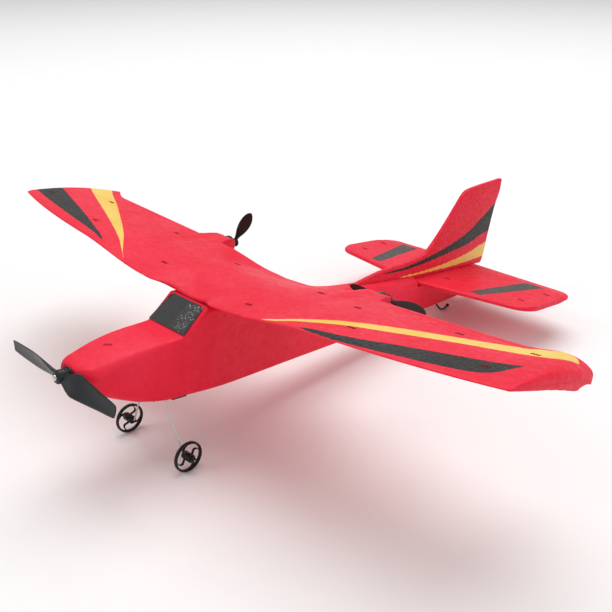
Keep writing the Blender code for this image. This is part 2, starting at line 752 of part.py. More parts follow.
def nose_blade_stations():
    """Broad blade: (radius, chord, pitch in degrees, thickness), widest a quarter of the way out."""
    shape = (
        (2.2, 4.6, 46, 2.2),
        (5, 6.4, 43, 1.9),
        (8.5, 9.2, 36, 1.6),
        (12, 10.8, 31, 1.4),
        (20, 9.8, 21, 1.2),
        (31, 7.8, 13, 1.0),
    )
    stations = [(r * MM, chord * MM, math.radians(pitch), thick * MM) for r, chord, pitch, thick in shape]
    stations.append((NOSE_PROP_RADIUS - 0.6 * MM, 5.9 * MM, math.radians(8), 0.8 * MM))
    stations.append((NOSE_PROP_RADIUS, 5.0 * MM, math.radians(8), 0.7 * MM))
    return stations


def pusher_blade_stations():
    """Paddle blade: a narrow root, widest two thirds of the way out, with a rounded tip."""
    stations = []
    for share in (0.07, 0.16, 0.26, 0.38, 0.5, 0.62, 0.74, 0.84, 0.92, 0.97, 1.0):
        wide = math.sqrt(max(0.0, 1 - ((share - 0.64) / 0.365) ** 2)) if share > 0.64 else 1.0
        narrow = 0.3 + 0.7 * float(smooth_step((share - 0.1) / 0.5))
        chord = PUSHER_CHORD * min(wide, narrow)
        pitch = math.radians(52 - 30 * share)
        thickness = (1.5 - 0.7 * share) * MM
        stations.append((share * PUSHER_RADIUS, max(chord, 0.9 * MM), pitch, thickness))
    return stations


def propeller(name, stations, hub_radius, hub_length, bore, hand, rest_turn, parent, material):
    """Two blades grown into a hub; the hub is bored for its shaft."""
    low, high = -hub_length / 2, hub_length / 2
    chamfer = 0.5 * MM
    front = [(low, bore), (low, hub_radius - chamfer), (low + chamfer, hub_radius)]
    hub = place(name, turned(front + [(high, hub_radius), (high, bore)], ROUND_SIDES), material, parent)
    for turn in (0, math.pi):
        blade = cutter(blade_mesh(stations, hand, turn + rest_turn), parent)
        add(hub, blade)
    return hub


def bush_rear():
    return NOSE_FACE + 9 * MM


def nose_propeller(airframe):
    """The nose propeller spins on a headed pin that runs through the bush, with a collar behind it."""
    spin = empty("nose_prop_axis", airframe, (0, 0, 0))
    fit = NOSE_AXLE_RADIUS + PRESS_GAP
    grey = finish("dark_grey_plastic", (0.05, 0.05, 0.05), 0.35)
    blades = nose_blade_stations()
    propeller("nose_propeller", blades, NOSE_HUB_RADIUS, NOSE_HUB_LENGTH, fit, 1, 0, spin, grey)

    head = -NOSE_HUB_LENGTH / 2 - GAP
    tail = head + NOSE_AXLE_LENGTH
    head_front = head - 0.9 * MM
    pin_head = [(head_front, 0), (head_front, 0.8 * NOSE_AXLE_HEAD), (head, NOSE_AXLE_HEAD)]
    pin = pin_head + [(head, NOSE_AXLE_RADIUS), (tail, NOSE_AXLE_RADIUS), (tail, 0)]
    place("nose_axle", turned(pin, 16), bright_steel(), spin)

    start = bush_rear() + GAP
    end = start + NOSE_COLLAR_LENGTH
    ring = [(start, fit), (start, NOSE_COLLAR_RADIUS), (end, NOSE_COLLAR_RADIUS), (end, fit)]
    place("nose_axle_collar", turned(ring, 16), finish("brass", (0.7, 0.5, 0.2), 0.35, 1.0), spin)

    front = NOSE_HUB_LENGTH / 2 + GAP
    flange = NOSE_FACE - GAP
    bore = NOSE_AXLE_RADIUS + AXLE_CLEARANCE
    outside = [(front, NOSE_BUSH_FLANGE), (flange, NOSE_BUSH_FLANGE), (flange, NOSE_BUSH_RADIUS)]
    bush = [(front, bore)] + outside + [(bush_rear(), NOSE_BUSH_RADIUS), (bush_rear(), bore)]
    place("nose_axle_bush", turned(bush), black_plastic(), airframe)


def motor(airframe, side, label, rest_turn, hand):
    """A brushed motor in its holder: the can and end cap stay still, the rotor and propeller turn."""
    mount = empty(label + "_motor_axis", airframe, (side * MOTOR_X, 0, MOTOR_HEIGHT))
    rear = MOTOR_REAR
    front = rear - MOTOR_LENGTH
    inside = MOTOR_RADIUS - CAN_WALL
    shaft_hole = MOTOR_SHAFT_RADIUS + GAP
    can = [
        (front, inside),
        (front, MOTOR_RADIUS - 0.2 * MM),
        (front + 0.4 * MM, MOTOR_RADIUS),
        (rear - 0.6 * MM, MOTOR_RADIUS),
        (rear, MOTOR_RADIUS - 0.6 * MM),
        (rear, shaft_hole),
        (rear - CAN_END, shaft_hole),
        (rear - CAN_END, inside),
    ]
    place(label + "_motor_can", turned(can), bright_steel(), mount)

    cap_rear = front - GAP
    cap_front = cap_rear - END_CAP_LENGTH
    narrow, wide = MOTOR_RADIUS - 0.6 * MM, MOTOR_RADIUS - 0.3 * MM
    cap = [(cap_front, 0), (cap_front, narrow), (cap_rear, wide), (cap_rear, 0)]
    place(label + "_motor_end_cap", turned(cap), finish("white_plastic", (0.8, 0.8, 0.78), 0.5), mount)

    ring_front = rear - HOLDER_LENGTH + 1.0 * MM
    lip = rear - 0.2 * MM
    inner = MOTOR_RADIUS + GAP
    outer = inner + HOLDER_WALL
    holder = [(ring_front, inner), (ring_front, outer), (lip, outer), (lip, inner)]
    place(label + "_motor_holder", turned(holder), black_plastic(), mount)

    spin = empty(label + "_prop_axis", mount, (0, PUSHER_PLANE, 0))
    drum_front = front + 2 * MM - PUSHER_PLANE
    drum_rear = rear - CAN_END - GAP - PUSHER_PLANE
    shaft_end = PUSHER_HUB_LENGTH / 2 - 0.6 * MM
    drum = [(drum_front, 0), (drum_front, inside - GAP), (drum_rear, inside - GAP)]
    shaft = [(drum_rear, MOTOR_SHAFT_RADIUS), (shaft_end, MOTOR_SHAFT_RADIUS), (shaft_end, 0)]
    place(label + "_motor_rotor", turned(drum + shaft, 16), bright_steel(), spin)

    propeller(
        label + "_pusher_propeller",
        pusher_blade_stations(),
        PUSHER_HUB_RADIUS,
        PUSHER_HUB_LENGTH,
        MOTOR_SHAFT_RADIUS + PRESS_GAP,
        hand,
        rest_turn,
        spin,
        black_plastic(),
    )
    leads = tube(lead_route(side), LEAD_RADIUS, 6)
    place(label + "_motor_leads", leads, finish("lead_insulation", (0.6, 0.05, 0.04), 0.5), airframe)


def bay(airframe):
    """The black tub in the belly, its cover, and the battery, board, switch and charging socket inside."""
    floor = bay_floor()
    x = BAY_WIDTH / 2 - GAP
    low_y, high_y = BAY_START + GAP, BAY_START + BAY_LENGTH - GAP
    cover_top = floor + BAY_COVER
    roof = bay_ceiling() - GAP
    box = block((-x, low_y, cover_top + GAP), (x, high_y, roof))
    tub = place("belly_tub", box, black_plastic(), airframe)
    inner_x, inner_low, inner_high = x - TUB_WALL, low_y + TUB_WALL, high_y - TUB_WALL
    slot_cut(tub, (-inner_x, inner_low, floor), (inner_x, inner_high, roof - TUB_WALL), airframe)
    cover = place("belly_cover", block((-x, low_y, floor), (x, high_y, cover_top)), black_plastic(), airframe)
    middle = (low_y + high_y) / 2

    ceiling = roof - TUB_WALL - GAP
    board_x, board_y, board_z = BOARD_SIZE
    board_top = ceiling - CHIP_ROOM
    board = place(
        "circuit_board",
        block(
            (-board_x / 2, middle - board_y / 2, board_top - board_z),
            (board_x / 2, middle + board_y / 2, board_top),
        ),
        finish("green_board", (0.03, 0.25, 0.08), 0.5),
        airframe,
    )
    chip_top = board_top + 1.6 * MM
    for chip_low, chip_high in (((-3, -4), (3, 2)), ((-6, 5), (-1, 9)), ((2, 5), (6, 10))):
        chip = block(
            (chip_low[0] * MM, middle + chip_low[1] * MM, board_top - board_z / 2),
            (chip_high[0] * MM, middle + chip_high[1] * MM, chip_top),
        )
        add(board, cutter(chip, airframe))
    for side in (-1, 1):
        slot_cut(
            tub,
            (side * LEAD_SPREAD - LEAD_RADIUS - 0.4 * MM, inner_high - OVERCUT, bay_ceiling() - 4.2 * MM),
            (side * LEAD_SPREAD + LEAD_RADIUS + 0.4 * MM, high_y + OVERCUT, bay_ceiling() - 1.8 * MM),
            airframe,
        )

    cell_x, cell_y, cell_z = BATTERY_SIZE
    cell_top = board_top - board_z - BOARD_GAP
    cell_low = cell_top - cell_z
    pouch = block((-cell_x / 2, middle - cell_y / 2, cell_low), (cell_x / 2, middle + cell_y / 2, cell_top))
    cell = place("battery", pouch, finish("silver_wrap", (0.55, 0.56, 0.58), 0.35, 0.6), airframe)
    soft = cell.modifiers.new("soft_edge", "BEVEL")
    soft.width = 1.0 * MM
    soft.segments = 2

    below, above = floor - OVERCUT, cover_top + OVERCUT
    half_x, half_y = SWITCH_SIZE[0] / 2, SWITCH_SIZE[1] / 2
    front, rear = SWITCH_STATION - half_y, SWITCH_STATION + half_y
    switch_low, switch_top = floor - SWITCH_PROUD, cell_low - GAP
    slot_cut(cover, (-half_x - GAP, front - GAP, below), (half_x + GAP, rear + GAP, above), airframe)
    body = block((-half_x, front, switch_low), (half_x, rear, switch_top))
    case = place("power_switch_case", body, black_plastic(), airframe)
    slide_x, slide_y = SLIDE_SIZE[0] / 2, SLIDE_SIZE[1] / 2
    slot_cut(
        case,
        (-slide_x - GAP, SWITCH_STATION - slide_y - GAP, switch_low - OVERCUT),
        (slide_x + GAP, SWITCH_STATION + slide_y + GAP, switch_low + SLIDE_DEPTH + GAP),
        airframe,
    )
    slider_axis = empty("switch_axis", airframe, (-SWITCH_TRAVEL / 2, SWITCH_STATION, switch_low))
    knob_x = slide_x - SWITCH_TRAVEL / 2
    knob = block((-knob_x, -slide_y, -SLIDE_PROUD), (knob_x, slide_y, SLIDE_DEPTH))
    place("power_switch_slider", knob, finish("light_grey_plastic", (0.45, 0.45, 0.45), 0.45), slider_axis)

    socket_x, socket_y = SOCKET_SIZE[0] / 2, SOCKET_SIZE[1] / 2
    socket_mid = rear + 2.2 * MM + socket_y
    front, rear = socket_mid - socket_y, socket_mid + socket_y
    slot_cut(cover, (-socket_x - GAP, front - GAP, below), (socket_x + GAP, rear + GAP, above), airframe)
    shell = block((-socket_x, front, floor), (socket_x, rear, switch_top))
    socket = place("charging_socket", shell, finish("socket_steel", (0.6, 0.6, 0.62), 0.3, 1.0), airframe)
    side_wall, end_wall = 0.5 * MM, 0.8 * MM
    slot_cut(
        socket,
        (-socket_x + side_wall, front + end_wall, below),
        (socket_x - side_wall, rear - end_wall, floor + 3.0 * MM),
        airframe,
    )

    boss_x = x - TUB_WALL - SCREW_RADIUS - 0.6 * MM
    boss_ys = (low_y + 2.4 * MM, high_y - 2.4 * MM)
    spots = [(side * boss_x, boss_y, floor) for boss_y in boss_ys for side in (-1, 1)]
    for number, spot in enumerate(spots, 1):
        head = [(0, 0), (0, SCREW_HEAD_RADIUS), (SCREW_HEAD, SCREW_HEAD_RADIUS), (SCREW_HEAD, SCREW_RADIUS)]
        screw = turned(head + [(SCREW_LENGTH, SCREW_RADIUS), (SCREW_LENGTH, 0)], 12, "Z")
        place(f"belly_screw_{number}", screw, bright_steel(), airframe, spot)
        sink, shank = SCREW_HEAD_RADIUS + GAP, SCREW_RADIUS + GAP
        sink_end = SCREW_HEAD + GAP
        outline = [(-OVERCUT, 0), (-OVERCUT, sink), (sink_end, sink), (sink_end, shank)]
        hole = turned(outline + [(SCREW_LENGTH, shank), (SCREW_LENGTH, 0)], 12, "Z")
        cut(cover, cutter(hole, airframe, spot))

    for side in (-1, 1):
        slot_cut(
            cover,
            (side * GEAR_WIRE_ROOT - 1.6 * MM, gear_root_y() - 1.2 * MM, below),
            (side * GEAR_WIRE_ROOT + 1.6 * MM, gear_root_y() + 1.2 * MM, above),
            airframe,
        )
    clamp_low = cover_top + GAP
    clamp_x, clamp_y = CLAMP_SIZE[0] / 2, CLAMP_SIZE[1] / 2
    bridge = block(
        (-clamp_x, gear_root_y() - clamp_y, clamp_low),
        (clamp_x, gear_root_y() + clamp_y, clamp_low + CLAMP_SIZE[2]),
    )
    clamp = place("gear_wire_clamp", bridge, black_plastic(), airframe)
    room = GEAR_WIRE_RADIUS + GAP
    slot_cut(
        clamp,
        (-clamp_x - OVERCUT, gear_root_y() - room, clamp_low - OVERCUT),
        (clamp_x + OVERCUT, gear_root_y() + room, clamp_low + GEAR_WIRE_RADIUS + room),
        airframe,
    )


def gear_root_y():
    return WHEEL_STATION - 4.3 * MM


def gear_wire(airframe):
    """One steel wire: an axle at each end, a leg up to the belly, and a bar held by the clamp."""
    z_bar = bay_floor() + BAY_COVER + GAP + GEAR_WIRE_RADIUS
    axle_end = WHEEL_TRACK / 2 + WHEEL_HUB_LENGTH / 2 + GAP + WHEEL_CAP_WIDTH + 0.5 * MM
    knee = WHEEL_TRACK / 2 - WHEEL_HUB_LENGTH / 2 - 0.9 * MM
    axle = [(axle_end, WHEEL_STATION, -WHEEL_DROP), (knee, WHEEL_STATION, -WHEEL_DROP)]
    half = axle + [(GEAR_WIRE_ROOT, gear_root_y(), z_bar)]
    other = [(-x, y, z) for x, y, z in reversed(half)]
    path = rounded_path(half + other, 1.6 * MM, 4)
    place("landing_gear_wire", tube(path, GEAR_WIRE_RADIUS, 8), bright_steel(), airframe)


def wheel(airframe, side, label):
    """Rim, long hub and four swept spokes in one, free on the wire, with a cap pressed on outside it."""
    axis = empty(label + "_wheel_axis", airframe, (side * WHEEL_TRACK / 2, WHEEL_STATION, -WHEEL_DROP))
    half, inner = WHEEL_WIDTH / 2, WHEEL_RADIUS - WHEEL_RIM
    shoulder = WHEEL_RADIUS - TREAD_EDGE
    near = [(-half, inner), (-half, shoulder), (-half + TREAD_EDGE, WHEEL_RADIUS)]
    far = [(half - TREAD_EDGE, WHEEL_RADIUS), (half, shoulder), (half, inner)]
    tyre = place(label + "_wheel", turned(near + far, WHEEL_SIDES, "X"), black_plastic(), axis)

    bore = GEAR_WIRE_RADIUS + GAP
    hub_half = WHEEL_HUB_LENGTH / 2
    ends = [(-hub_half, bore), (-hub_half, WHEEL_HUB_RADIUS), (hub_half, WHEEL_HUB_RADIUS), (hub_half, bore)]
    add(tyre, cutter(turned(ends, 20, "X"), axis))
    root, end = 1.5 * MM, inner + 0.5 * MM
    for spoke in range(4):
        rings = []
        for i in range(6):
            t = i / 5
            angle = math.pi / 2 * spoke + SPOKE_SWEEP * math.sin(math.pi * t) * side
            centre = Vector((0, math.cos(angle), math.sin(angle))) * (root + (end - root) * t)
            wide = Vector((0, -math.sin(angle), math.cos(angle))) * SPOKE_WIDTH / 2
            deep = Vector((1, 0, 0)) * SPOKE_DEPTH / 2
            rings.append([centre + wide * a + deep * b for a, b in ((-1, -1), (1, -1), (1, 1), (-1, 1))])
        add(tyre, cutter(loft(rings), axis))

    cap_start = side * (hub_half + GAP)
    cap_end = cap_start + side * WHEEL_CAP_WIDTH
    outside = [(cap_start, WHEEL_CAP_RADIUS), (cap_end, 0.8 * WHEEL_CAP_RADIUS)]
    cap = turned([(cap_start, bore)] + outside + [(cap_end, bore)], 16, "X")
    place(label + "_wheel_cap", cap, black_plastic(), airframe, axis.location)


def skid_path():
    low = -SKID_DROP
    tip = SKID_STATION + SKID_REACH
    return [
        Vector((0, SKID_STATION - 3 * MM, -10 * MM)),
        Vector((0, SKID_STATION - 1 * MM, low + 5.8 * MM)),
        Vector((0, SKID_STATION + 2 * MM, low + 3.0 * MM)),
        Vector((0, tip - 3 * MM, low + 0.5 * MM)),
        Vector((0, tip, low)),
        Vector((0, tip + 3 * MM, low + 0.5 * MM)),
        Vector((0, tip + 5.2 * MM, low + 2.0 * MM)),
    ]


def tail_skid(airframe):
    path = skid_path()
    skid = place("tail_skid", tube(path, SKID_RADIUS, 10), black_plastic(), airframe)
    bead = bmesh.new()
    bmesh.ops.create_uvsphere(bead, u_segments=12, v_segments=7, radius=SKID_BEAD_RADIUS)
    add(skid, cutter(mesh_of(bead), airframe, path[-1]))


def stance_pitch():
    """Nose-up angle at which the wheels' lowest point and the skid's lowest point are level."""
    run = SKID_STATION + SKID_REACH - WHEEL_STATION
    rise = WHEEL_DROP - SKID_DROP
    reach = math.hypot(run, rise)
    return math.asin((WHEEL_RADIUS - SKID_RADIUS) / reach) + math.atan2(rise, run)


def stand(airframe):
    """Tips the airframe nose-up, drops it onto the ground and centres it over the origin."""
    airframe.rotation_euler.x = -stance_pitch()
    bpy.context.view_layer.update()
    graph = bpy.context.evaluated_depsgraph_get()
    corners = []
    for obj in bpy.context.scene.objects:
        if obj.type == "MESH" and not obj.hide_render:
            shown = obj.evaluated_get(graph)
            corners += [shown.matrix_world @ vert.co for vert in shown.data.vertices]
    lowest = min(corner.z for corner in corners)
    front, back = min(corner.y for corner in corners), max(corner.y for corner in corners)
    airframe.location = (0, -(front + back) / 2, -lowest)


for old in list(bpy.data.objects):
    bpy.data.objects.remove(old)

airframe = empty("airframe", None, (0, 0, 0))
fuselage(airframe)
wing(airframe)
stabiliser(airframe)
fin(airframe)
windscreen(airframe)
nose_propeller(airframe)
motor(airframe, 1, "port", math.radians(0), 1)
motor(airframe, -1, "starboard", math.radians(-57), -1)
bay(airframe)
gear_wire(airframe)
for side, label in ((1, "port"), (-1, "starboard")):
    wheel(airframe, side, label)
tail_skid(airframe)
stand(airframe)
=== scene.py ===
"""A small foam radio-controlled monoplane on a pale studio floor.

Every piece is drawn in millimetres in the airframe's own frame, level, with the nose propeller's hub at the
origin: +X to port, +Y aft, +Z up. AIRFRAME then tips and drops it onto its wheels and tail skid.
"""

import json
import math

import bmesh
import bpy
import numpy as np
from mathutils import Matrix, Vector, noise


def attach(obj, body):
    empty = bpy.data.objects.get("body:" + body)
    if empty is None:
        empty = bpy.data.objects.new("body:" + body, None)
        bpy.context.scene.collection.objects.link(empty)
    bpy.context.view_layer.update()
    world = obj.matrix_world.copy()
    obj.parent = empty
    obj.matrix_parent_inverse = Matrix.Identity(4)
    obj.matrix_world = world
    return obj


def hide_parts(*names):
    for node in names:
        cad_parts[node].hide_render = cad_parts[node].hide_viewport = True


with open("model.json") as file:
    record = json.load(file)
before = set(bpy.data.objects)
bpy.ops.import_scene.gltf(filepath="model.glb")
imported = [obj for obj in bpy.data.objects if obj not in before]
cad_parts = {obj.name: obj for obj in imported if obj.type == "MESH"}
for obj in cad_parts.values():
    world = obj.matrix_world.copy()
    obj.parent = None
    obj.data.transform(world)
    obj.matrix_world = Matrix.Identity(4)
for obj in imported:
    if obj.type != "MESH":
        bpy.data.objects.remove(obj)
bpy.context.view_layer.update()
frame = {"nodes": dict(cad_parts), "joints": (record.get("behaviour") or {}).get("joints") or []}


# The fuselage is one red foam moulding with a skin of fused beads. It is steam-moulded in a two-part tool, so
# its corners are soft, and its belly has a bay and its tail has slots that the other pieces are set in.
MM = 0.001
nose_spin = next(joint for joint in frame["joints"] if joint["name"] == "nose_prop_spin")
AFT_WAY = -Vector(nose_spin["axis"])
UP_WAY = Vector((1, 0, 0)).cross(AFT_WAY)
AIRFRAME = Matrix(((1, 0, 0), AFT_WAY, UP_WAY)).transposed().to_4x4()
AIRFRAME.translation = Vector(nose_spin["pos_m"])

NOSE_FACE = 4.2
SCREEN_FOOT, SCREEN_HEAD = 55.2, 68.6
WING_SEAT, SEAT_FALL = 24.0, 1.9
DECK_END, TAIL_END = 172.0, 322.0
COWL_WIDTH, CABIN_WIDTH, TAIL_WIDTH = 29.4, 32.4, 6.8
COWL_HEIGHT, BELLY_DEPTH = 11.6, 19.9
TAIL_TOP, TAIL_DEPTH = 5.0, 12.0
CABIN_EDGE = 2.6
BAY_START, BAY_LENGTH, BAY_WIDTH, BAY_HEIGHT = 42.0, 34.0, 21.0, 17.5
WING_ROOT_LE, WING_CHORD = 61.5, 67.0
SEAT_BREAK = WING_ROOT_LE + WING_CHORD / 2
SEAT_END = WING_ROOT_LE + WING_CHORD + 6.0
GAP = 0.3


def ease(value):
    t = min(1.0, max(0.0, value))
    return t * t * (3 - 2 * t)


def through(*stations):
    """A smooth curve through (place, value) stations that never overshoots them."""
    place, value = (np.array(column, float) for column in zip(*stations))
    slope = np.diff(value) / np.diff(place)
    tangent = np.concatenate([slope[:1], np.zeros(len(place) - 2), slope[-1:]])
    for i in range(1, len(place) - 1):
        if slope[i - 1] * slope[i] > 0:
            tangent[i] = 2 * slope[i - 1] * slope[i] / (slope[i - 1] + slope[i])

    def read(at):
        i = int(np.clip(np.searchsorted(place, at) - 1, 0, len(place) - 2))
        width = place[i + 1] - place[i]
        t = min(1.0, max(0.0, (at - place[i]) / width))
        ends = value[i] * (1 + 2 * t) * (1 - t) ** 2 + value[i + 1] * t * t * (3 - 2 * t)
        return float(ends + width * (tangent[i] * t * (1 - t) ** 2 - tangent[i + 1] * t * t * (1 - t)))

    return read


def skin(rings):
    """A mesh through rings of equally many points, closed at both ends."""
    count = len(rings[0])
    points = [tuple(point) for ring in rings for point in ring]
    faces = []
    for row in range(len(rings) - 1):
        for i in range(count):
            j = (i + 1) % count
            faces.append((row * count + i, row * count + j, (row + 1) * count + j, (row + 1) * count + i))
    faces.append(tuple(range(count)))
    faces.append(tuple(range(len(points) - count, len(points))))
    mesh = bpy.data.meshes.new("skin")
    mesh.from_pydata(points, [], faces)
    shape = bmesh.new()
    shape.from_mesh(mesh)
    bmesh.ops.remove_doubles(shape, verts=shape.verts, dist=0.002)
    bmesh.ops.recalc_face_normals(shape, faces=shape.faces)
    shape.to_mesh(mesh)
    shape.free()
    return mesh


def finished(shape, name):
    """A mesh of what has been built up in a bmesh, which is then let go."""
    mesh = bpy.data.meshes.new(name)
    shape.to_mesh(mesh)
    shape.free()
    return mesh


def block(low, high):
    shape = bmesh.new()
    bmesh.ops.create_cube(shape, size=1)
    low, high = Vector(low), Vector(high)
    for vert in shape.verts:
        vert.co = Vector([(low[i] + high[i]) / 2 + vert.co[i] * (high[i] - low[i]) for i in range(3)])
    return finished(shape, "block")


def turned(profile, sides=64, axis="Y"):
    """A ring or disc turned about an axis from (along, radius) points; a radius of zero closes it."""
    rings = []
    for i in range(sides):
        angle = 2 * math.pi * i / sides
        turn = {
            "Y": lambda along, radius: (radius * math.cos(angle), along, radius * math.sin(angle)),
            "X": lambda along, radius: (along, radius * math.cos(angle), radius * math.sin(angle)),
        }[axis]
        rings.append([turn(along, radius) for along, radius in profile])
    solid = profile[0][1] == 0
    count = len(profile)
    faces = []
    for i in range(sides):
        j = (i + 1) % sides
        for k in range(count - 1 if solid else count):
            m = (k + 1) % count
            faces.append((i * count + k, i * count + m, j * count + m, j * count + k))
    mesh = bpy.data.meshes.new("turned")
    mesh.from_pydata([point for ring in rings for point in ring], [], faces)
    shape = bmesh.new()
    shape.from_mesh(mesh)
    bmesh.ops.remove_doubles(shape, verts=shape.verts, dist=0.0005)
    bmesh.ops.dissolve_degenerate(shape, edges=shape.edges, dist=0.0002)
    bmesh.ops.recalc_face_normals(shape, faces=shape.faces)
    shape.to_mesh(mesh)
    shape.free()
    return mesh


def worked(mesh, tools, operation="DIFFERENCE"):
    """The mesh with each tool mesh cut out of it, or joined to it."""
    base = bpy.data.objects.new("work", mesh)
    helpers = [bpy.data.objects.new("tool", tool) for tool in tools]
    for obj in [base, *helpers]:
        bpy.context.scene.collection.objects.link(obj)
    for helper in helpers:
        change = base.modifiers.new("work", "BOOLEAN")
        change.operation = operation
        change.object = helper
    graph = bpy.context.evaluated_depsgraph_get()
    made = bpy.data.meshes.new_from_object(base.evaluated_get(graph))
    for obj in [base, *helpers]:
        bpy.data.objects.remove(obj)
    return made


def stand(name, mesh, material, place=None, crease=35):
    """Puts a mesh drawn in airframe millimetres in the scene, smooth but for edges past the crease angle."""
    if place is not None:
        mesh.transform(place)
    mesh.transform(AIRFRAME @ Matrix.Scale(MM, 4))
    mesh.materials.clear()
    mesh.materials.append(material)
    mesh.shade_smooth()
    mesh.set_sharp_from_angle(angle=math.radians(crease))
    piece = bpy.data.objects.new(name, mesh)
    bpy.context.scene.collection.objects.link(piece)
    return piece


def node(tree, kind, **settings):
    made = tree.nodes.new(kind)
    for key, value in settings.items():
        setattr(made, key, value)
    return made


def feed(tree, socket, value):
    """Links a socket to another, or sets it to a plain value."""
    if isinstance(value, bpy.types.NodeSocket):
        tree.links.new(value, socket)
    else:
        socket.default_value = value


def sum_of(tree, operation, *values):
    step = node(tree, "ShaderNodeMath", operation=operation)
    for socket, value in zip(step.inputs, values):
        feed(tree, socket, value)
    return step.outputs[0]


def ramp(tree, value, low, high, to_low=0.0, to_high=1.0):
    step = node(tree, "ShaderNodeMapRange", interpolation_type="SMOOTHSTEP")
    for socket, given in zip(step.inputs, (value, low, high, to_low, to_high)):
        feed(tree, socket, given)
    return step.outputs[0]


def blend_colour(tree, share, first, second):
    step = node(tree, "ShaderNodeMix", data_type="RGBA")
    for socket, value in zip((step.inputs[0], step.inputs[6], step.inputs[7]), (share, first, second)):
        feed(tree, socket, value)
    return step.outputs[2]


def mottle(tree, place, scale, detail=2.0, **settings):
    """The outputs of a noise texture laid over a place."""
    made = node(tree, "ShaderNodeTexNoise", **settings)
    for label, value in (("Vector", place), ("Scale", scale), ("Detail", detail)):
        feed(tree, made.inputs[label], value)
    return made.outputs


def new_group(name, inputs, outputs):
    """An empty shader node group, from inputs as (name, kind, value) and outputs as (name, kind)."""
    tree = bpy.data.node_groups.new(name, "ShaderNodeTree")
    for label, kind, value in inputs:
        socket = tree.interface.new_socket(label, in_out="INPUT", socket_type="NodeSocket" + kind)
        socket.default_value = value
    for label, kind in outputs:
        tree.interface.new_socket(label, in_out="OUTPUT", socket_type="NodeSocket" + kind)
    return tree, node(tree, "NodeGroupInput").outputs, node(tree, "NodeGroupOutput").inputs


def use_group(tree, group, **values):
    made = node(tree, "ShaderNodeGroup", node_tree=group)
    for key, value in values.items():
        feed(tree, made.inputs[key.replace("_", " ")], value)
    return made.outputs


def new_material(name, roughness, metallic=0.0):
    material = bpy.data.materials.new(name)
    material.use_nodes = True
    shader = material.node_tree.nodes["Principled BSDF"]
    shader.inputs["Roughness"].default_value = roughness
    shader.inputs["Metallic"].default_value = metallic
    shader.inputs["Specular IOR Level"].default_value = 0.22
    return material, material.node_tree, shader


def bumped(tree, shader, height, strength, distance=0.0004):
    bump = node(tree, "ShaderNodeBump")
    bump.inputs["Strength"].default_value = strength
    bump.inputs["Distance"].default_value = distance
    tree.links.new(height, bump.inputs["Height"])
    tree.links.new(bump.outputs[0], shader.inputs["Normal"])


# Airframe millimetres at each point of a surface, so that paint and beads lie the same on every piece.
airframe_place, _, out = new_group("airframe_place", [], [("Place", "Vector")])
turn_level = node(airframe_place, "ShaderNodeMapping", vector_type="POINT")
level = AIRFRAME.inverted()
turn_level.inputs["Location"].default_value = level.translation / MM
turn_level.inputs["Rotation"].default_value = level.to_euler()
turn_level.inputs["Scale"].default_value = (1 / MM,) * 3
airframe_place.links.new(node(airframe_place, "ShaderNodeTexCoord").outputs["Object"], turn_level.inputs[0])
airframe_place.links.new(turn_level.outputs[0], out["Place"])

# The moulded bead skin: flattened beads with fine seams between them, slow cloudy shading and a fine tooth.
foam_skin, given, out = new_group(
    "foam_skin",
    [("Bead", "Float", 2.6), ("Seam Width", "Float", 0.09)],
    [("Seam", "Float"), ("Bead Tone", "Float"), ("Cloud", "Float"), ("Height", "Float")],
)
spot = use_group(foam_skin, airframe_place)["Place"]
wander = mottle(foam_skin, spot, 0.55)
shifted = node(foam_skin, "ShaderNodeVectorMath", operation="MULTIPLY_ADD")
foam_skin.links.new(wander["Color"], shifted.inputs[0])
shifted.inputs[1].default_value = (1.3, 1.3, 1.3)
foam_skin.links.new(spot, shifted.inputs[2])
per_bead = sum_of(foam_skin, "DIVIDE", 1.0, given["Bead"])
walls = node(foam_skin, "ShaderNodeTexVoronoi", feature="DISTANCE_TO_EDGE")
cells = node(foam_skin, "ShaderNodeTexVoronoi", feature="F1")
for beads in (walls, cells):
    foam_skin.links.new(shifted.outputs[0], beads.inputs["Vector"])
    foam_skin.links.new(per_bead, beads.inputs["Scale"])
seam = ramp(foam_skin, walls.outputs["Distance"], 0.0, given["Seam Width"], 1.0, 0.0)
cloud = mottle(foam_skin, spot, 0.035, 4.0)
tooth = mottle(foam_skin, spot, 1.9, 5.0)
tone = node(foam_skin, "ShaderNodeSeparateColor")
foam_skin.links.new(cells.outputs["Color"], tone.inputs[0])
dome = ramp(foam_skin, walls.outputs["Distance"], 0.0, 0.35)
height = sum_of(foam_skin, "MULTIPLY_ADD", dome, 0.7, sum_of(foam_skin, "MULTIPLY", tooth[0], 0.5))
bead_values = {"Seam": seam, "Bead Tone": tone.outputs[0], "Cloud": cloud[0], "Height": height}
for label, value in bead_values.items():
    foam_skin.links.new(value, out[label])

FOAM_RED = (0.84, 0.009, 0.038, 1)
FOAM_DEEP = (0.62, 0.004, 0.018, 1)
FOAM_PALE = (0.88, 0.022, 0.062, 1)


def red_of_foam(tree, beads, seams=0.35):
    """Red that drifts between a deeper and a paler dye, darker along the bead seams."""
    base = blend_colour(tree, ramp(tree, beads["Cloud"], 0.3, 0.7), FOAM_RED, FOAM_PALE)
    base = blend_colour(tree, sum_of(tree, "MULTIPLY", beads["Bead Tone"], 0.16), base, FOAM_DEEP)
    return blend_colour(tree, sum_of(tree, "MULTIPLY", beads["Seam"], seams), base, FOAM_DEEP)


red_foam, tree, shader = new_material("moulded_red_foam", 0.5)
beads = use_group(tree, foam_skin)
tree.links.new(red_of_foam(tree, beads, 0.12), shader.inputs["Base Color"])
tree.links.new(ramp(tree, beads["Bead Tone"], 0, 1, 0.42, 0.54), shader.inputs["Roughness"])
bumped(tree, shader, beads["Height"], 0.12)

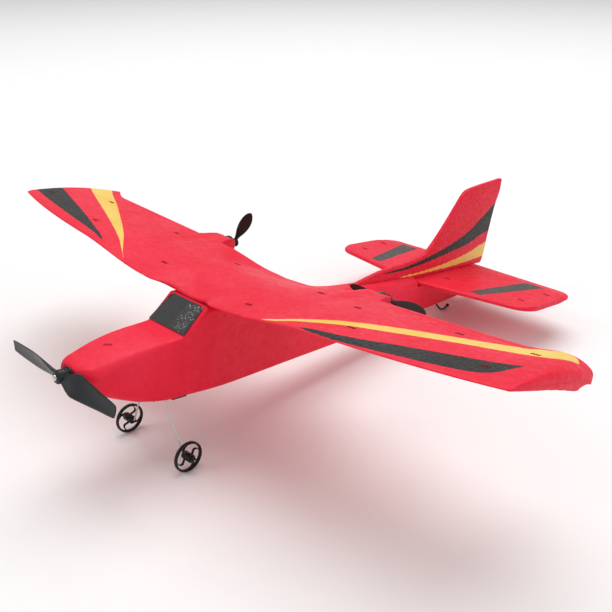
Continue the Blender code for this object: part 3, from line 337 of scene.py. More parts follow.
AFT = TAIL_END - DECK_END
NOSE_DEPTH = 9.0
side_line = through(
    (NOSE_FACE + NOSE_DEPTH, COWL_WIDTH / 2 - 0.8),
    (SCREEN_FOOT * 0.6, COWL_WIDTH / 2),
    (SCREEN_FOOT, COWL_WIDTH / 2 + 0.4),
    (SCREEN_HEAD + 8, CABIN_WIDTH / 2),
    (WING_ROOT_LE + WING_CHORD * 0.6, CABIN_WIDTH / 2 - 1.2),
    (DECK_END, CABIN_WIDTH / 2 - 5.0),
    (DECK_END + AFT * 0.6, TAIL_WIDTH / 2 + 3.2),
    (TAIL_END, TAIL_WIDTH / 2),
)
COWL_EDGE = COWL_HEIGHT - 7.2
cowl_line = through(
    (NOSE_FACE + 7, COWL_EDGE),
    (NOSE_FACE + 17, COWL_EDGE + 2.8),
    (SCREEN_FOOT * 0.66, COWL_HEIGHT - 1.9),
    (SCREEN_FOOT, COWL_HEIGHT),
)
SEAT_LOW = WING_SEAT - SEAT_FALL
deck_line = through(
    (SEAT_END, SEAT_LOW),
    (SEAT_END + 8, SEAT_LOW - 2.0),
    (SEAT_END + 21, SEAT_LOW - 6.6),
    (DECK_END, COWL_HEIGHT + 1.2),
    (DECK_END + AFT * 0.35, TAIL_TOP + 5.0),
    (TAIL_END, TAIL_TOP),
)
belly_line = through(
    (NOSE_FACE + 7, -8.0),
    (NOSE_FACE + 19, 0.66 * -BELLY_DEPTH),
    (NOSE_FACE + 32, 0.88 * -BELLY_DEPTH),
    (SCREEN_FOOT - 3, -BELLY_DEPTH),
    (BAY_START + BAY_LENGTH + 6, -BELLY_DEPTH),
    (WING_ROOT_LE + WING_CHORD, -BELLY_DEPTH + 1.0),
    (DECK_END, -BELLY_DEPTH + 1.9),
    (TAIL_END, -TAIL_DEPTH),
)


def nose_turn(y, depth):
    return math.sqrt(max(0.0, 1 - (max(0.0, NOSE_FACE + depth - y) / depth) ** 2))


def body_half_width(y):
    if y < NOSE_FACE + NOSE_DEPTH:
        return 5.5 + (COWL_WIDTH / 2 - 6.3) * nose_turn(y, NOSE_DEPTH)
    return side_line(y)


def seat_height(y):
    """Height of the cabin top under the wing: level, then falling towards the deck."""
    return WING_SEAT - SEAT_FALL * min(1.0, max(0.0, (y - SEAT_BREAK) / (SEAT_END - SEAT_BREAK)))


def body_top(y):
    if y < NOSE_FACE + 7:
        return 1.5 + (COWL_EDGE - 1.5) * nose_turn(y, 7)
    if y < SCREEN_FOOT:
        return cowl_line(y)
    if y < SCREEN_HEAD:
        return COWL_HEIGHT + (WING_SEAT - COWL_HEIGHT) * (y - SCREEN_FOOT) / (SCREEN_HEAD - SCREEN_FOOT)
    return seat_height(y) if y <= SEAT_END else deck_line(y)


def body_low(y):
    if y < NOSE_FACE + 7:
        return -4.0 - 4.0 * nose_turn(y, 7)
    return belly_line(y)


def body_section(y, corner_steps=10, flat_steps=6):
    """A rounded box with a lightly crowned cowl; its corners open out towards the nose and the tail boom."""
    half, high, low = body_half_width(y), body_top(y), body_low(y)
    open_out = 6 * ease((y - SEAT_END) / 30) + 2.2 * ease((34 - y) / 26)
    upper = min(CABIN_EDGE + open_out, half * 0.8, (high - low) * 0.4)
    lower = min(CABIN_EDGE + 0.9, half * 0.8, (high - low) * 0.4)
    crown = 1.2 * ease((SCREEN_FOOT - 6 - y) / 8)
    corners = []
    quarters = ((1, 1, upper, 90), (1, -1, lower, 0), (-1, -1, lower, 270), (-1, 1, upper, 180))
    for side, rise, radius, start in quarters:
        centre_x = side * (half - radius)
        centre_z = high - radius if rise > 0 else low + radius
        turns = [math.radians(start - 90 * i / corner_steps) for i in range(corner_steps + 1)]
        corners.append([(centre_x + radius * math.cos(a), centre_z + radius * math.sin(a)) for a in turns])
    ring = []
    for corner, following in zip(corners, corners[1:] + corners[:1]):
        ring += corner
        (x, z), (next_x, next_z) = corner[-1], following[0]
        ring += [
            (x + (next_x - x) * i / flat_steps, z + (next_z - z) * i / flat_steps)
            for i in range(1, flat_steps)
        ]
    return [(x, y, z + crown * (1 - (x / half) ** 2) * ease((z - high + 1.2) / 1.2)) for x, z in ring]


def even(low, high, step):
    return list(np.linspace(low, high, max(2, round((high - low) / step)) + 1))


NOSE_RUN = 9.5
nose_steps = [NOSE_FACE + NOSE_RUN * (1 - math.cos(math.pi / 2 * i / 18)) for i in range(19)]
body_steps = nose_steps + even(NOSE_FACE + NOSE_RUN, SCREEN_FOOT, 2.5)[1:]
body_steps += even(SCREEN_FOOT, SCREEN_HEAD, 2.3)[1:] + even(SCREEN_HEAD, SEAT_END, 3.0)[1:]
body_steps += even(SEAT_END, TAIL_END - 3, 3.0)[1:]
body_steps += [TAIL_END - 1.5, TAIL_END - 0.5, TAIL_END]
fuselage_mesh = skin([body_section(y) for y in body_steps])
STABILISER_TOP, STABILISER_SKIN, STABILISER_LE = 6.9, 3.0, 246.0
FIN_START, FIN_THICKNESS, FIN_TENON = 188.0, 3.2, 4.0
BUSH_BORE, BUSH_BORE_END = 2.6, 17.2
FAR = 50.0  # how far the cutting tools reach, well past the foam
bay_cut = block(
    (-BAY_WIDTH / 2, BAY_START, -FAR),
    (BAY_WIDTH / 2, BAY_START + BAY_LENGTH, BAY_HEIGHT - BELLY_DEPTH),
)
tail_cut = block(
    (-FAR, STABILISER_LE - GAP, STABILISER_TOP - STABILISER_SKIN - GAP),
    (FAR, TAIL_END + FAR, FAR),
)
fin_slot_half = FIN_THICKNESS / 2 + GAP
fin_slot_floor = body_top(STABILISER_LE) - FIN_TENON - GAP
bore_cut = turned([(0, 0), (0, BUSH_BORE), (BUSH_BORE_END, BUSH_BORE), (BUSH_BORE_END, 0)], 40)
fin_cut = block((-fin_slot_half, FIN_START - GAP, fin_slot_floor), (fin_slot_half, TAIL_END + FAR, 2 * FAR))
fuselage_mesh = worked(fuselage_mesh, [bore_cut, bay_cut, tail_cut, fin_cut])
fuselage = stand("fuselage_moulding", fuselage_mesh, red_foam, crease=40)
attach(fuselage, "root")
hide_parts("fuselage_foam")


# The wing is one red foam moulding laid over the cabin, its root faired down to the windscreen and the deck,
# with a hump over each motor and tips that curl down. Black and yellow paint is sprayed on through a mask.
HALF_SPAN = 175.0
WING_SKIN, WING_REAR_SKIN, WING_CAMBER, WING_RISE = 4.2, 1.4, 1.2, 1.8
WING_ROOT_HEIGHT, DIHEDRAL = 30.6, 0.052
TIP_SWEEP, TIP_RAKE, TIP_BOW, TIP_DROOP = 15.0, 11.0, 3.5, 11.0
MOTOR_X, MOTOR_HEIGHT, MOTOR_RADIUS, MOTOR_LENGTH = 58.8, 27.9, 3.5, 16.0
PUSHER_PLANE, PUSHER_HUB_LENGTH = 147.0, 4.6
MOTOR_REAR = PUSHER_PLANE - PUSHER_HUB_LENGTH / 2 - 0.5
HOLDER_WALL = 0.8
NACELLE_REAR = MOTOR_REAR - 1.0
NACELLE_TOP = MOTOR_HEIGHT + MOTOR_RADIUS + 0.9 + HOLDER_WALL
TRAILING_EDGE = WING_ROOT_LE + WING_CHORD
TIP_FRONT, TIP_REAR = WING_ROOT_LE + TIP_SWEEP, TRAILING_EDGE + TIP_RAKE
TIP_CORNER = HALF_SPAN - TIP_BOW
ROOT_FAIRING, ROOT_DROOP = 24.0, 3.9


def wing_leading_edge(x):
    outer = WING_ROOT_LE + TIP_SWEEP * (x / HALF_SPAN) ** 3.2
    inner = SCREEN_HEAD + 2 * GAP
    tip = 0.85 * (TIP_REAR - TIP_FRONT) * (1 - math.sqrt(min(1.0, (HALF_SPAN - x) / TIP_BOW)))
    return inner + (outer - inner) * ease((x - CABIN_WIDTH * 0.33) / (ROOT_FAIRING * 0.55)) + tip


def nacelle_bulge(x):
    return (1 - ease(abs(x - MOTOR_X) / 15)) ** 1.3


def rear_fairing(x):
    return 1 - ease((x - 14) / 28)


def wing_trailing_edge(x):
    edge = TRAILING_EDGE + (NACELLE_REAR - TRAILING_EDGE) * ease(2.2 * nacelle_bulge(x) - 0.3)
    rake = TIP_RAKE * ease((x - HALF_SPAN + 30) / 27)
    return edge + 6 * rear_fairing(x) + rake - 5 * max(0.0, (x - TIP_CORNER) / TIP_BOW) ** 3


def tip_drop(x, y):
    """How far the tip curls down: it starts on a curved crest and is deepest at the rear."""
    run = min(1.0, max(0.0, (y - TIP_FRONT) / (TIP_REAR - TIP_FRONT)))
    crest = TIP_CORNER - 18 * run**3
    edge = HALF_SPAN - TIP_BOW * (1 - run) ** 2
    out = min(1.0, max(0.0, (x - crest) / max(edge - crest, GAP)))
    return TIP_DROOP * run * (1 - math.sqrt(1 - out * out))


def wing_point(x, u):
    """(y, upper height, lower height) of the wing at a distance from the middle and a share of the chord."""
    front, rear = wing_leading_edge(x), wing_trailing_edge(x)
    y = front + (rear - front) * u
    fairing, bulge = 1 - ease(x / ROOT_FAIRING), nacelle_bulge(x)
    plane = WING_ROOT_HEIGHT + DIHEDRAL * x - tip_drop(x, y)
    droop = ROOT_DROOP * (1 - ease((x - 32) / 55)) * (1 - ease(u / 0.45))
    high = plane + WING_RISE * (1 - u) - 0.6 * u + WING_CAMBER * math.sin(math.pi * u) - droop
    grow = 0.4 + 0.6 * ease(u / 0.3)
    low = high - WING_SKIN * grow - (WING_REAR_SKIN - WING_SKIN) * ease((u - 0.3) / 0.7)
    rear_dip = 5.8 * rear_fairing(x) * ease((u - 0.45) / 0.55)
    floor = seat_height(y) + GAP
    high -= (high - floor - 1.6) * (1 - ease(u / 0.22)) * fairing + rear_dip
    low -= rear_dip
    low += (floor - low) * ease(1.9 * fairing)
    middle = (high + low) / 2
    nose = math.sqrt(max(0.0, 1 - (1 - min(1.0, u / 0.06)) ** 2))
    high = middle + (high - middle) * nose
    low = middle + (low - middle) * nose ** (1 - fairing)
    along = ease((y - front - 0.34 * WING_CHORD) / (0.66 * WING_CHORD))
    reach = ease((y - front - 0.5 * WING_CHORD) / (0.22 * WING_CHORD))
    peak = NACELLE_TOP - 2.2 * ease((y - NACELLE_REAR + 5) / 5)
    high += (peak - high) * bulge * along
    low = min(low, low + (2 * MOTOR_HEIGHT - NACELLE_TOP - low) * bulge * reach)
    # A shallow step runs along the thin rear edge, outboard of the motors, where the tool's two halves meet.
    outboard = ease((x - MOTOR_X - 18) / 12) * (1 - ease((x - HALF_SPAN + 26) / 14))
    high -= 0.42 * outboard * math.exp(-(((rear - y - 4.2) / 0.6) ** 2))
    return y, high, low


def flash_nick(x):
    """Length of the torn moulding flash along the leading edge here: mostly nothing, with small nicks."""
    wave = math.sin(x * 0.83) + math.sin(x * 0.37 + 2.0) + math.sin(x * 1.61 + 0.7)
    return 0.16 * max(0.0, wave - 1.3)


def wing_ring(x, chordwise=44):
    side = 1 if x >= 0 else -1
    top, bottom = [], []
    for i in range(chordwise + 1):
        u = 0.5 - 0.5 * math.cos(math.pi * i / chordwise)
        y, high, low = wing_point(abs(x), u)
        if i == 0 and ROOT_FAIRING + 4 < abs(x) < TIP_CORNER:
            y -= flash_nick(side * 40 + abs(x))
        top.append((x, y, high))
        bottom.append((x, y, low))
    return top + bottom[:0:-1]


def wing_top(x, y):
    """Height of the wing's upper surface at a point of its plan."""
    front, rear = wing_leading_edge(abs(x)), wing_trailing_edge(abs(x))
    return wing_point(abs(x), (y - front) / (rear - front))[1]


inboard = even(0, MOTOR_X - 15, 1.7) + even(MOTOR_X - 15, MOTOR_X + 15, 1.2)[1:]
outboard = even(MOTOR_X + 15, HALF_SPAN - 30, 2.6)[1:] + even(HALF_SPAN - 30, HALF_SPAN - 4, 1.4)[1:]
tip_end = [HALF_SPAN - back for back in (3.4, 2.8, 2.2, 1.7, 1.2, 0.8, 0.5, 0.3, 0.2)]
half_steps = inboard + outboard + tip_end
wing_mesh = skin([wing_ring(-x) for x in reversed(half_steps[1:])] + [wing_ring(x) for x in half_steps])


END_CAP_LENGTH = 2.2
POCKET_FRONT = MOTOR_REAR - MOTOR_LENGTH - END_CAP_LENGTH - 3 * GAP
pockets = []
for side in (-1, 1):
    step = MOTOR_REAR - 8 - GAP
    bore, collar = MOTOR_RADIUS + GAP, MOTOR_RADIUS + HOLDER_WALL + 2 * GAP
    outline = [(POCKET_FRONT, 0), (POCKET_FRONT, bore), (step, bore), (step, collar)]
    outline += [(MOTOR_REAR + 20, collar), (MOTOR_REAR + 20, 0)]
    pocket = turned(outline, 48)
    pocket.transform(Matrix.Translation((side * MOTOR_X, 0, MOTOR_HEIGHT)))
    pockets.append(pocket)
wing_mesh = worked(wing_mesh, pockets)

# Where the paint lies: each stripe is the band between a leading and a trailing line, given as (x, y) points
# from the starboard tip to the port tip. Where there is no stripe, the leading line lies behind the trailing.
stripe_lines = {
    "black_lead": [
        (-174, 82.5), (-165, 80.7), (-140, 76.3), (-112, 72.2), (-86, 68.6), (-72, 66.2), (-68, 74),
        (68, 74), (78, 64.2), (84, 63.6), (106, 65.4), (127, 69.8), (146, 75.2), (155, 79.4), (159.5, 85),
        (161.5, 92), (163, 100), (174, 104),
    ],
    "black_trail": [
        (-174, 99.6), (-169, 98.4), (-142, 90.1), (-118, 82.6), (-93, 74.0), (-72, 65.8), (-68, 60),
        (68, 60), (78, 64.0), (84, 66), (101, 71), (119, 79.2), (138, 87.3), (155, 95.0), (163, 99.6),
        (174, 103),
    ],
    "yellow_lead": [
        (-174, 120.5), (-161, 114.5), (-127, 100), (-95, 86.2), (-70, 74.9), (-60, 69.7), (-52, 65.4),
        (-49, 63.9), (-45, 68), (44, 66), (56, 63), (73, 69.8), (91, 81.3), (110, 91.1), (128, 100.7),
        (146, 110), (160, 116.9), (166, 121.6), (168.5, 128), (174, 138),
    ],
    "yellow_trail": [
        (-174, 139), (-159, 128.2), (-132, 113.8), (-101, 96.3), (-75, 81.0), (-63, 72.8), (-54, 66.6),
        (-49, 63.7), (-45, 59), (44, 60), (56, 62.8), (71, 72.3), (87, 85.6), (105, 97.2), (123, 107.4),
        (141, 118.4), (157, 131.2), (165, 136.5), (169, 133), (174, 120),
    ],
}


def drawn_lines(tree, place, lines, corner, size):
    """What each line reads at a place: smooth curves through points in a field with this corner and size."""
    share = sum_of(tree, "DIVIDE", sum_of(tree, "SUBTRACT", place, corner[0]), size[0])
    values = {}
    for label, points in lines.items():
        drawn = node(tree, "ShaderNodeFloatCurve")
        curve = drawn.mapping.curves[0]
        shares = [((along - corner[0]) / size[0], (value - corner[1]) / size[1]) for along, value in points]
        for spot in shares[1:-1]:
            curve.points.new(*spot)
        for end in (0, -1):
            curve.points[end].location = shares[end]
        for point in curve.points:
            point.handle_type = "AUTO_CLAMPED"
        drawn.mapping.update()
        tree.links.new(share, drawn.inputs["Value"])
        values[label] = sum_of(tree, "MULTIPLY_ADD", drawn.outputs[0], size[1], corner[1])
    return values


def past(tree, value, line, edge=0.1):
    """One where a value is past a line and nothing short of it, with a soft edge."""
    return ramp(tree, sum_of(tree, "SUBTRACT", value, line), -edge, edge)


wing_stripes, _, out = new_group("wing_stripes", [], [("Black", "Float"), ("Yellow", "Float")])
spot = use_group(wing_stripes, airframe_place)["Place"]
apart = node(wing_stripes, "ShaderNodeSeparateXYZ")
wing_stripes.links.new(spot, apart.inputs[0])
wavy = mottle(wing_stripes, spot, 0.5)[0]
waver = sum_of(wing_stripes, "MULTIPLY", sum_of(wing_stripes, "SUBTRACT", wavy, 0.5), 0.9)
wavering_y = sum_of(wing_stripes, "ADD", apart.outputs[1], waver)
lines = drawn_lines(wing_stripes, apart.outputs[0], stripe_lines, (-176, 40), (352, 120))
topside = ramp(wing_stripes, apart.outputs[2], 27.0, 28.0)
for label in ("black", "yellow"):
    behind = past(wing_stripes, wavering_y, lines[label + "_lead"])
    ahead = past(wing_stripes, lines[label + "_trail"], wavering_y)
    band = sum_of(wing_stripes, "MULTIPLY", sum_of(wing_stripes, "MULTIPLY", behind, ahead), topside)
    wing_stripes.links.new(band, out[label.capitalize()])

PAINT_BLACK = (0.007, 0.007, 0.007, 1)
PAINT_BLACK_WORN = (0.052, 0.047, 0.044, 1)
PAINT_YELLOW = (0.88, 0.53, 0.07, 1)
PAINT_YELLOW_PALE = (0.90, 0.63, 0.15, 1)


def painted(tree, shader, beads, base, black, yellow, black_tone=PAINT_BLACK):
    """Lays black and yellow paint over foam: it is thinner and paler along the bead seams."""
    patchy = sum_of(tree, "MULTIPLY", beads["Bead Tone"], 0.3)
    worn = sum_of(tree, "MULTIPLY_ADD", beads["Seam"], 0.75, patchy)
    dark = blend_colour(tree, worn, black_tone, PAINT_BLACK_WORN)
    bright = blend_colour(tree, ramp(tree, beads["Cloud"], 0.35, 0.65), PAINT_YELLOW, PAINT_YELLOW_PALE)
    base = blend_colour(tree, black, base, dark)
    base = blend_colour(tree, yellow, base, bright)
    tree.links.new(base, shader.inputs["Base Color"])
    matt = ramp(tree, beads["Bead Tone"], 0, 1, 0.42, 0.54)
    paint = sum_of(tree, "MAXIMUM", black, yellow)
    tree.links.new(sum_of(tree, "MULTIPLY_ADD", paint, -0.06, matt), shader.inputs["Roughness"])


wing_foam, tree, shader = new_material("painted_wing_foam", 0.5)
beads = use_group(tree, foam_skin)
stripes = use_group(tree, wing_stripes)
painted(tree, shader, beads, red_of_foam(tree, beads, 0.28), stripes["Black"], stripes["Yellow"])
relief = sum_of(tree, "MULTIPLY", beads["Height"], sum_of(tree, "MULTIPLY_ADD", stripes["Black"], 2.6, 0.7))
bumped(tree, shader, relief, 0.2)
wing = stand("wing_moulding", wing_mesh, wing_foam, crease=40)
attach(wing, "root")
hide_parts("wing_foam")


# Steam vents in the moulding tool leave marks on every foam piece: sets of three short bars over the wing and
# tail, and single pinheads along the cabin's side. They are part of the foam, and stand a hair proud.
vent_shade_foam, tree, shader = new_material("vent_mark_painted_shade", 0.6)
beads = use_group(tree, foam_skin)
# Painted shade: the marks get a far deeper red than the foam around them, standing in for the shade that
# falls inside the vent slots.
tone = blend_colour(tree, beads["Cloud"], (0.16, 0.001, 0.005, 1), (0.26, 0.002, 0.009, 1))
tree.links.new(tone, shader.inputs["Base Color"])
bumped(tree, shader, beads["Height"], 0.2)


def joined(meshes):
    shape = bmesh.new()
    for mesh in meshes:
        shape.from_mesh(mesh)
    return finished(shape, "joined")


def pill(length, radius, sides=10, steps=4):
    """A short bar with round ends, along X."""
    rings = []
    for end in (-1, 1):
        turns = [i / steps for i in range(1, steps + 1)]
        for t in turns if end < 0 else reversed(turns):
            angle = math.pi / 2 * t
            reach, size = radius * math.cos(angle), radius * math.sin(angle)
            x = end * (length / 2 - radius + reach)
            turns_round = [2 * math.pi * k / sides for k in range(sides)]
            rings.append([(x, size * math.cos(a), size * math.sin(a)) for a in turns_round])
    return skin(rings)


VENT_LENGTH, VENT_RADIUS, VENT_PITCH, VENT_SLANT = 2.1, 0.36, 1.4, 1.2


def vent_set(x, y, height, turn=0.0):
    """Three short bars side by side on a surface given by its height function."""
    ahead = Vector((0, 1, height(x, y + 0.5) - height(x, y - 0.5))).normalized()
    aside = Vector((1, 0, height(x + 0.5, y) - height(x - 0.5, y))).normalized()
    out = aside.cross(ahead).normalized()
    aside = ahead.cross(out)
    facing = Matrix((aside, ahead, out)).transposed().to_4x4()
    facing.translation = Vector((x, y, height(x, y) - 0.1))
    bars = []
    for place in (-VENT_PITCH, 0, VENT_PITCH):
        bar_mesh = pill(VENT_LENGTH, VENT_RADIUS)
        set_down = Matrix.Rotation(turn, 4, "Z") @ Matrix.Translation((place, 0, 0))
        bar_mesh.transform(facing @ (set_down @ Matrix.Rotation(VENT_SLANT, 4, "Z")))
        bars.append(bar_mesh)
    return bars


wing_vents = [
    (47.3, 110.3), (74.1, 106.0), (93.0, 80.3), (123.3, 115.1), (153.7, 87.3), (157.2, 118.6),
    (-69.3, 112.9), (-32.3, 77.3), (-18.3, 114.9), (37.8, 72.8), (-102.8, 80.8), (-163.4, 87.5),
    (-135.0, 112.3),
]
marks = [bar for x, y in wing_vents for bar in vent_set(x, y, wing_top)]
wing_marks = stand("wing_vent_marks", joined(marks), vent_shade_foam)
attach(wing_marks, "root")

marks = vent_set(-1.6, 24.5, lambda x, y: body_top(y) + 1.2 * (1 - (x / body_half_width(y)) ** 2), 0.6)
cabin_vents = [
    (77.8, 18.5), (84.4, 13.0), (93.1, 10.1), (78.1, 9.4), (87.1, -0.1), (90.3, -2.9), (82.4, -3.1),
    (75.9, -8.8), (84.5, -8.1), (92.3, -11.0), (112.0, 9.0), (128.0, 1.0), (146.0, 6.0),
]
for side in (-1, 1):
    for y, z in cabin_vents:
        pinhead = pill(0.9, 0.3)
        pinhead.transform(Matrix.Translation((side * (body_half_width(y) - 0.22), y, z)))
        marks.append(pinhead)
cabin_marks = stand("cabin_vent_marks", joined(marks), vent_shade_foam)
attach(cabin_marks, "root")


# The windscreen is a black printed film stuck to the sloping front of the cabin. It was laid dry, so it has
# crinkled, most of all towards the port corner.
SCREEN_RISE = math.atan2(WING_SEAT - COWL_HEIGHT, SCREEN_HEAD - SCREEN_FOOT)
SCREEN_LENGTH = math.hypot(WING_SEAT - COWL_HEIGHT, SCREEN_HEAD - SCREEN_FOOT)
FOOT_HALF, HEAD_HALF = 13.9, 12.7


def crinkle(x, v):
    """Height of the wrinkles in the film, in millimetres: sharp folds that wander, strongest to port."""
    near_port = 0.1 + 0.9 * ease((x - 1) / 5)
    folds = 0.0
    for scale, weight in ((0.32, 1.0), (0.75, 0.45)):
        folds += weight * (1 - 2.2 * abs(noise.noise(Vector((x * scale, v * scale * 1.4, 3.7 * scale)))))
    return 0.42 * near_port * max(0.0, folds)


rows = []
across, along = 96, 60
CORNER_ROUND = 2.6
for j in range(along + 1):
    v = j / along
    row = []
    for i in range(across + 1):
        s = 2 * i / across - 1
        half = FOOT_HALF + (HEAD_HALF - FOOT_HALF) * v
        # The head's corners are cut round: the film's edge falls away from its top line near each side.
        into = max(0.0, (abs(s) * half - half + CORNER_ROUND) / CORNER_ROUND)
        round_off = CORNER_ROUND * (1 - math.sqrt(max(0.0, 1 - into**2)))
        reach = 0.5 + (SCREEN_LENGTH - 1.3 - round_off * v**3) * v
        x = s * half
        lift = GAP + 0.03 + crinkle(x, reach) * min(1.0, 6 * (1 - abs(s)), 8 * v, 8 * (1 - v))
        y = SCREEN_FOOT + reach * math.cos(SCREEN_RISE) - lift * math.sin(SCREEN_RISE)
        z = COWL_HEIGHT + reach * math.sin(SCREEN_RISE) + lift * math.cos(SCREEN_RISE)
        row.append((x, y, z))
    rows.append(row)
width = across + 1
faces = [
    (j * width + i, j * width + i + 1, (j + 1) * width + i + 1, (j + 1) * width + i)
    for j in range(along)
    for i in range(across)
]
screen_mesh = bpy.data.meshes.new("screen")
screen_mesh.from_pydata([point for row in rows for point in row], [], faces)
film, tree, shader = new_material("crinkled_black_film", 0.16)
shader.inputs["Specular IOR Level"].default_value = 0.5
shader.inputs["Coat Weight"].default_value = 1.0
shader.inputs["Coat Roughness"].default_value = 0.06
spot = use_group(tree, airframe_place)["Place"]
wrinkle = mottle(tree, spot, 0.3, 5.0, noise_type="RIDGED_MULTIFRACTAL")[0]
scuff = mottle(tree, spot, 0.4)[0]
tone = blend_colour(tree, scuff, (0.006, 0.006, 0.007, 1), (0.014, 0.014, 0.015, 1))
tree.links.new(tone, shader.inputs["Base Color"])
tree.links.new(ramp(tree, scuff, 0.3, 0.7, 0.10, 0.26), shader.inputs["Roughness"])
bumped(tree, shader, wrinkle, 0.2, 0.0005)
screen = stand("windscreen_crinkled_film", screen_mesh, film)
back = screen.modifiers.new("film_thickness", "SOLIDIFY")
back.thickness = 0.00016
back.offset = -1
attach(screen, "root")
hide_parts("windscreen_film")


# The stabiliser is a flat red foam moulding glued into the tail, with rounded tips, a thin bevelled rear edge
# and one band of grey-black paint on each side.
STABILISER_HALF, STABILISER_SWEEP, TIP_ROUND = 76.5, 17.0, 11.0


def stabiliser_edges(x):
    front = STABILISER_LE + STABILISER_SWEEP * abs(x) / STABILISER_HALF
    rear = TAIL_END + 0.2 - 2 * abs(x) / STABILISER_HALF
    into = max(0.0, abs(x) - STABILISER_HALF + TIP_ROUND) / TIP_ROUND
    bite = TIP_ROUND * (1 - math.sqrt(max(0.0, 1 - min(into, 1.0) ** 2)))
    return front + bite, rear - bite


def stabiliser_ring(x, chordwise=40):
    front, rear = stabiliser_edges(x)
    middle = STABILISER_TOP - STABILISER_SKIN / 2
    top, low = [], []
    for i in range(chordwise + 1):
        u = 0.5 - 0.5 * math.cos(math.pi * i / chordwise)
        y = front + (rear - front) * u
        nose = math.sqrt(max(0.0, 1 - (1 - min(1.0, (y - front) / 2.4)) ** 2))
        thin = 1 - 0.6 * ease((y - rear + 9.5) / 9.5)
        crease = 0.18 * math.exp(-(((rear - y - 9.5) / 0.8) ** 2))
        lift = STABILISER_SKIN / 2 * nose * thin
        top.append((x, y, middle + lift - crease))
        low.append((x, y, middle - lift))
    return top + low[:0:-1]


inner_steps = even(0, STABILISER_HALF - TIP_ROUND, 2.6)
tip_steps = [STABILISER_HALF - TIP_ROUND * (1 - math.sin(math.radians(a))) for a in range(6, 89, 6)]
half_steps = inner_steps + tip_steps
rings = [stabiliser_ring(-x) for x in reversed(half_steps[1:])] + [stabiliser_ring(x) for x in half_steps]
tail_foam, tree, shader = new_material("painted_stabiliser_foam", 0.5)
beads = use_group(tree, foam_skin)
spot = use_group(tree, airframe_place)["Place"]
apart = node(tree, "ShaderNodeSeparateXYZ")
tree.links.new(spot, apart.inputs[0])
out_x = sum_of(tree, "ABSOLUTE", apart.outputs[0])
inner_line = sum_of(tree, "MULTIPLY_ADD", apart.outputs[1], 0.175, 36.0 - 0.175 * 260)
outer_line = sum_of(tree, "MULTIPLY_ADD", apart.outputs[1], 0.268, 44.8 - 0.268 * 262)
past_inner = past(tree, out_x, inner_line, 0.15)
short_of_outer = past(tree, outer_line, out_x, 0.15)
on_top = ramp(tree, apart.outputs[2], 5.0, 5.6)
past_front = ramp(tree, apart.outputs[1], 259.9, 260.3)
short_of_rear = ramp(tree, apart.outputs[1], 313.4, 313.0)
band = sum_of(tree, "MULTIPLY", sum_of(tree, "MULTIPLY", past_inner, short_of_outer), on_top)
band = sum_of(tree, "MULTIPLY", band, sum_of(tree, "MULTIPLY", past_front, short_of_rear))
painted(tree, shader, beads, red_of_foam(tree, beads), band, 0.0, (0.085, 0.075, 0.07, 1))
bumped(tree, shader, beads["Height"], 0.14)
stabiliser = stand("stabiliser_moulding", skin(rings), tail_foam)
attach(stabiliser, "root")
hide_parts("stabiliser_foam")
tail_vents = [(side * x, y) for side in (-1, 1) for x, y in ((63.5, 276.0), (67.0, 301.0), (12.4, 270.0))]
marks = [bar for x, y in tail_vents for bar in vent_set(x, y, lambda x, y: STABILISER_TOP)]
tail_marks = stand("stabiliser_vent_marks", joined(marks), vent_shade_foam)
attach(tail_marks, "root")


# The fin is cut from foam sheet with its beads showing, and its long strake and foot are glued in the deck's
# slot. A black and a yellow stripe sweep up it on both faces.
FIN_HEIGHT, FIN_OVERHANG, FIN_TAIL, FIN_RAKE = 66.3, 15.4, TAIL_END + 3.0, 10.3
FIN_FOOT = STABILISER_TOP + GAP
FIN_ROOT = body_top(STABILISER_LE) - FIN_TENON
SHOULDER = STABILISER_LE + FIN_OVERHANG
fin_front = through(
    (body_top(FIN_START) - 0.4, FIN_START), (body_top(FIN_START + 14) + 3.4, FIN_START + 14),
    (body_top(FIN_START + 30) + 6.9, FIN_START + 30), (19.8, STABILISER_LE + 2), (21.7, SHOULDER - 4),
    (25.4, SHOULDER + 1), (39.3, SHOULDER + 14.4), (FIN_HEIGHT - 9.6, SHOULDER + 28.6),
)
fin_outline = [(FIN_START, FIN_ROOT)]
fin_outline += [(fin_front(z), z) for z in even(body_top(FIN_START) - 0.4, FIN_HEIGHT - 9.6, 1.3)]
fin_top = through(
    (SHOULDER + 28.6, FIN_HEIGHT - 9.6), (SHOULDER + 33, FIN_HEIGHT - 5.9),
    (SHOULDER + 40.7, FIN_HEIGHT - 4.2), (FIN_TAIL + FIN_RAKE, FIN_HEIGHT),
)
fin_outline += [(y, fin_top(y)) for y in even(SHOULDER + 29.6, FIN_TAIL + FIN_RAKE, 2.0)]
fin_rear = through(
    (FIN_FOOT, FIN_TAIL), (11.0, FIN_TAIL + 1.8), (26.5, FIN_TAIL + 3.6), (FIN_HEIGHT - 18.9, FIN_TAIL + 6.7),
    (FIN_HEIGHT - 6.9, FIN_TAIL + 10.2), (FIN_HEIGHT, FIN_TAIL + FIN_RAKE),
)
fin_outline += [(fin_rear(z), z) for z in reversed(even(FIN_FOOT, FIN_HEIGHT - 2, 2.5))]
fin_outline += [(STABILISER_LE - 2 * GAP, FIN_FOOT), (STABILISER_LE - 2 * GAP, FIN_ROOT)]


def softened(mesh, width, segments, angle):
    """The mesh with its sharp edges rounded off to a radius of about the width."""
    shape = bmesh.new()
    shape.from_mesh(mesh)
    bmesh.ops.remove_doubles(shape, verts=shape.verts, dist=0.002)
    sharp = [e for e in shape.edges if len(e.link_faces) == 2 and e.calc_face_angle(0) > math.radians(angle)]
    bmesh.ops.bevel(
        shape, geom=sharp, offset=width, offset_type="OFFSET", segments=segments, profile=0.5,
        affect="EDGES", clamp_overlap=True,
    )
    shape.to_mesh(mesh)
    shape.free()
    return mesh


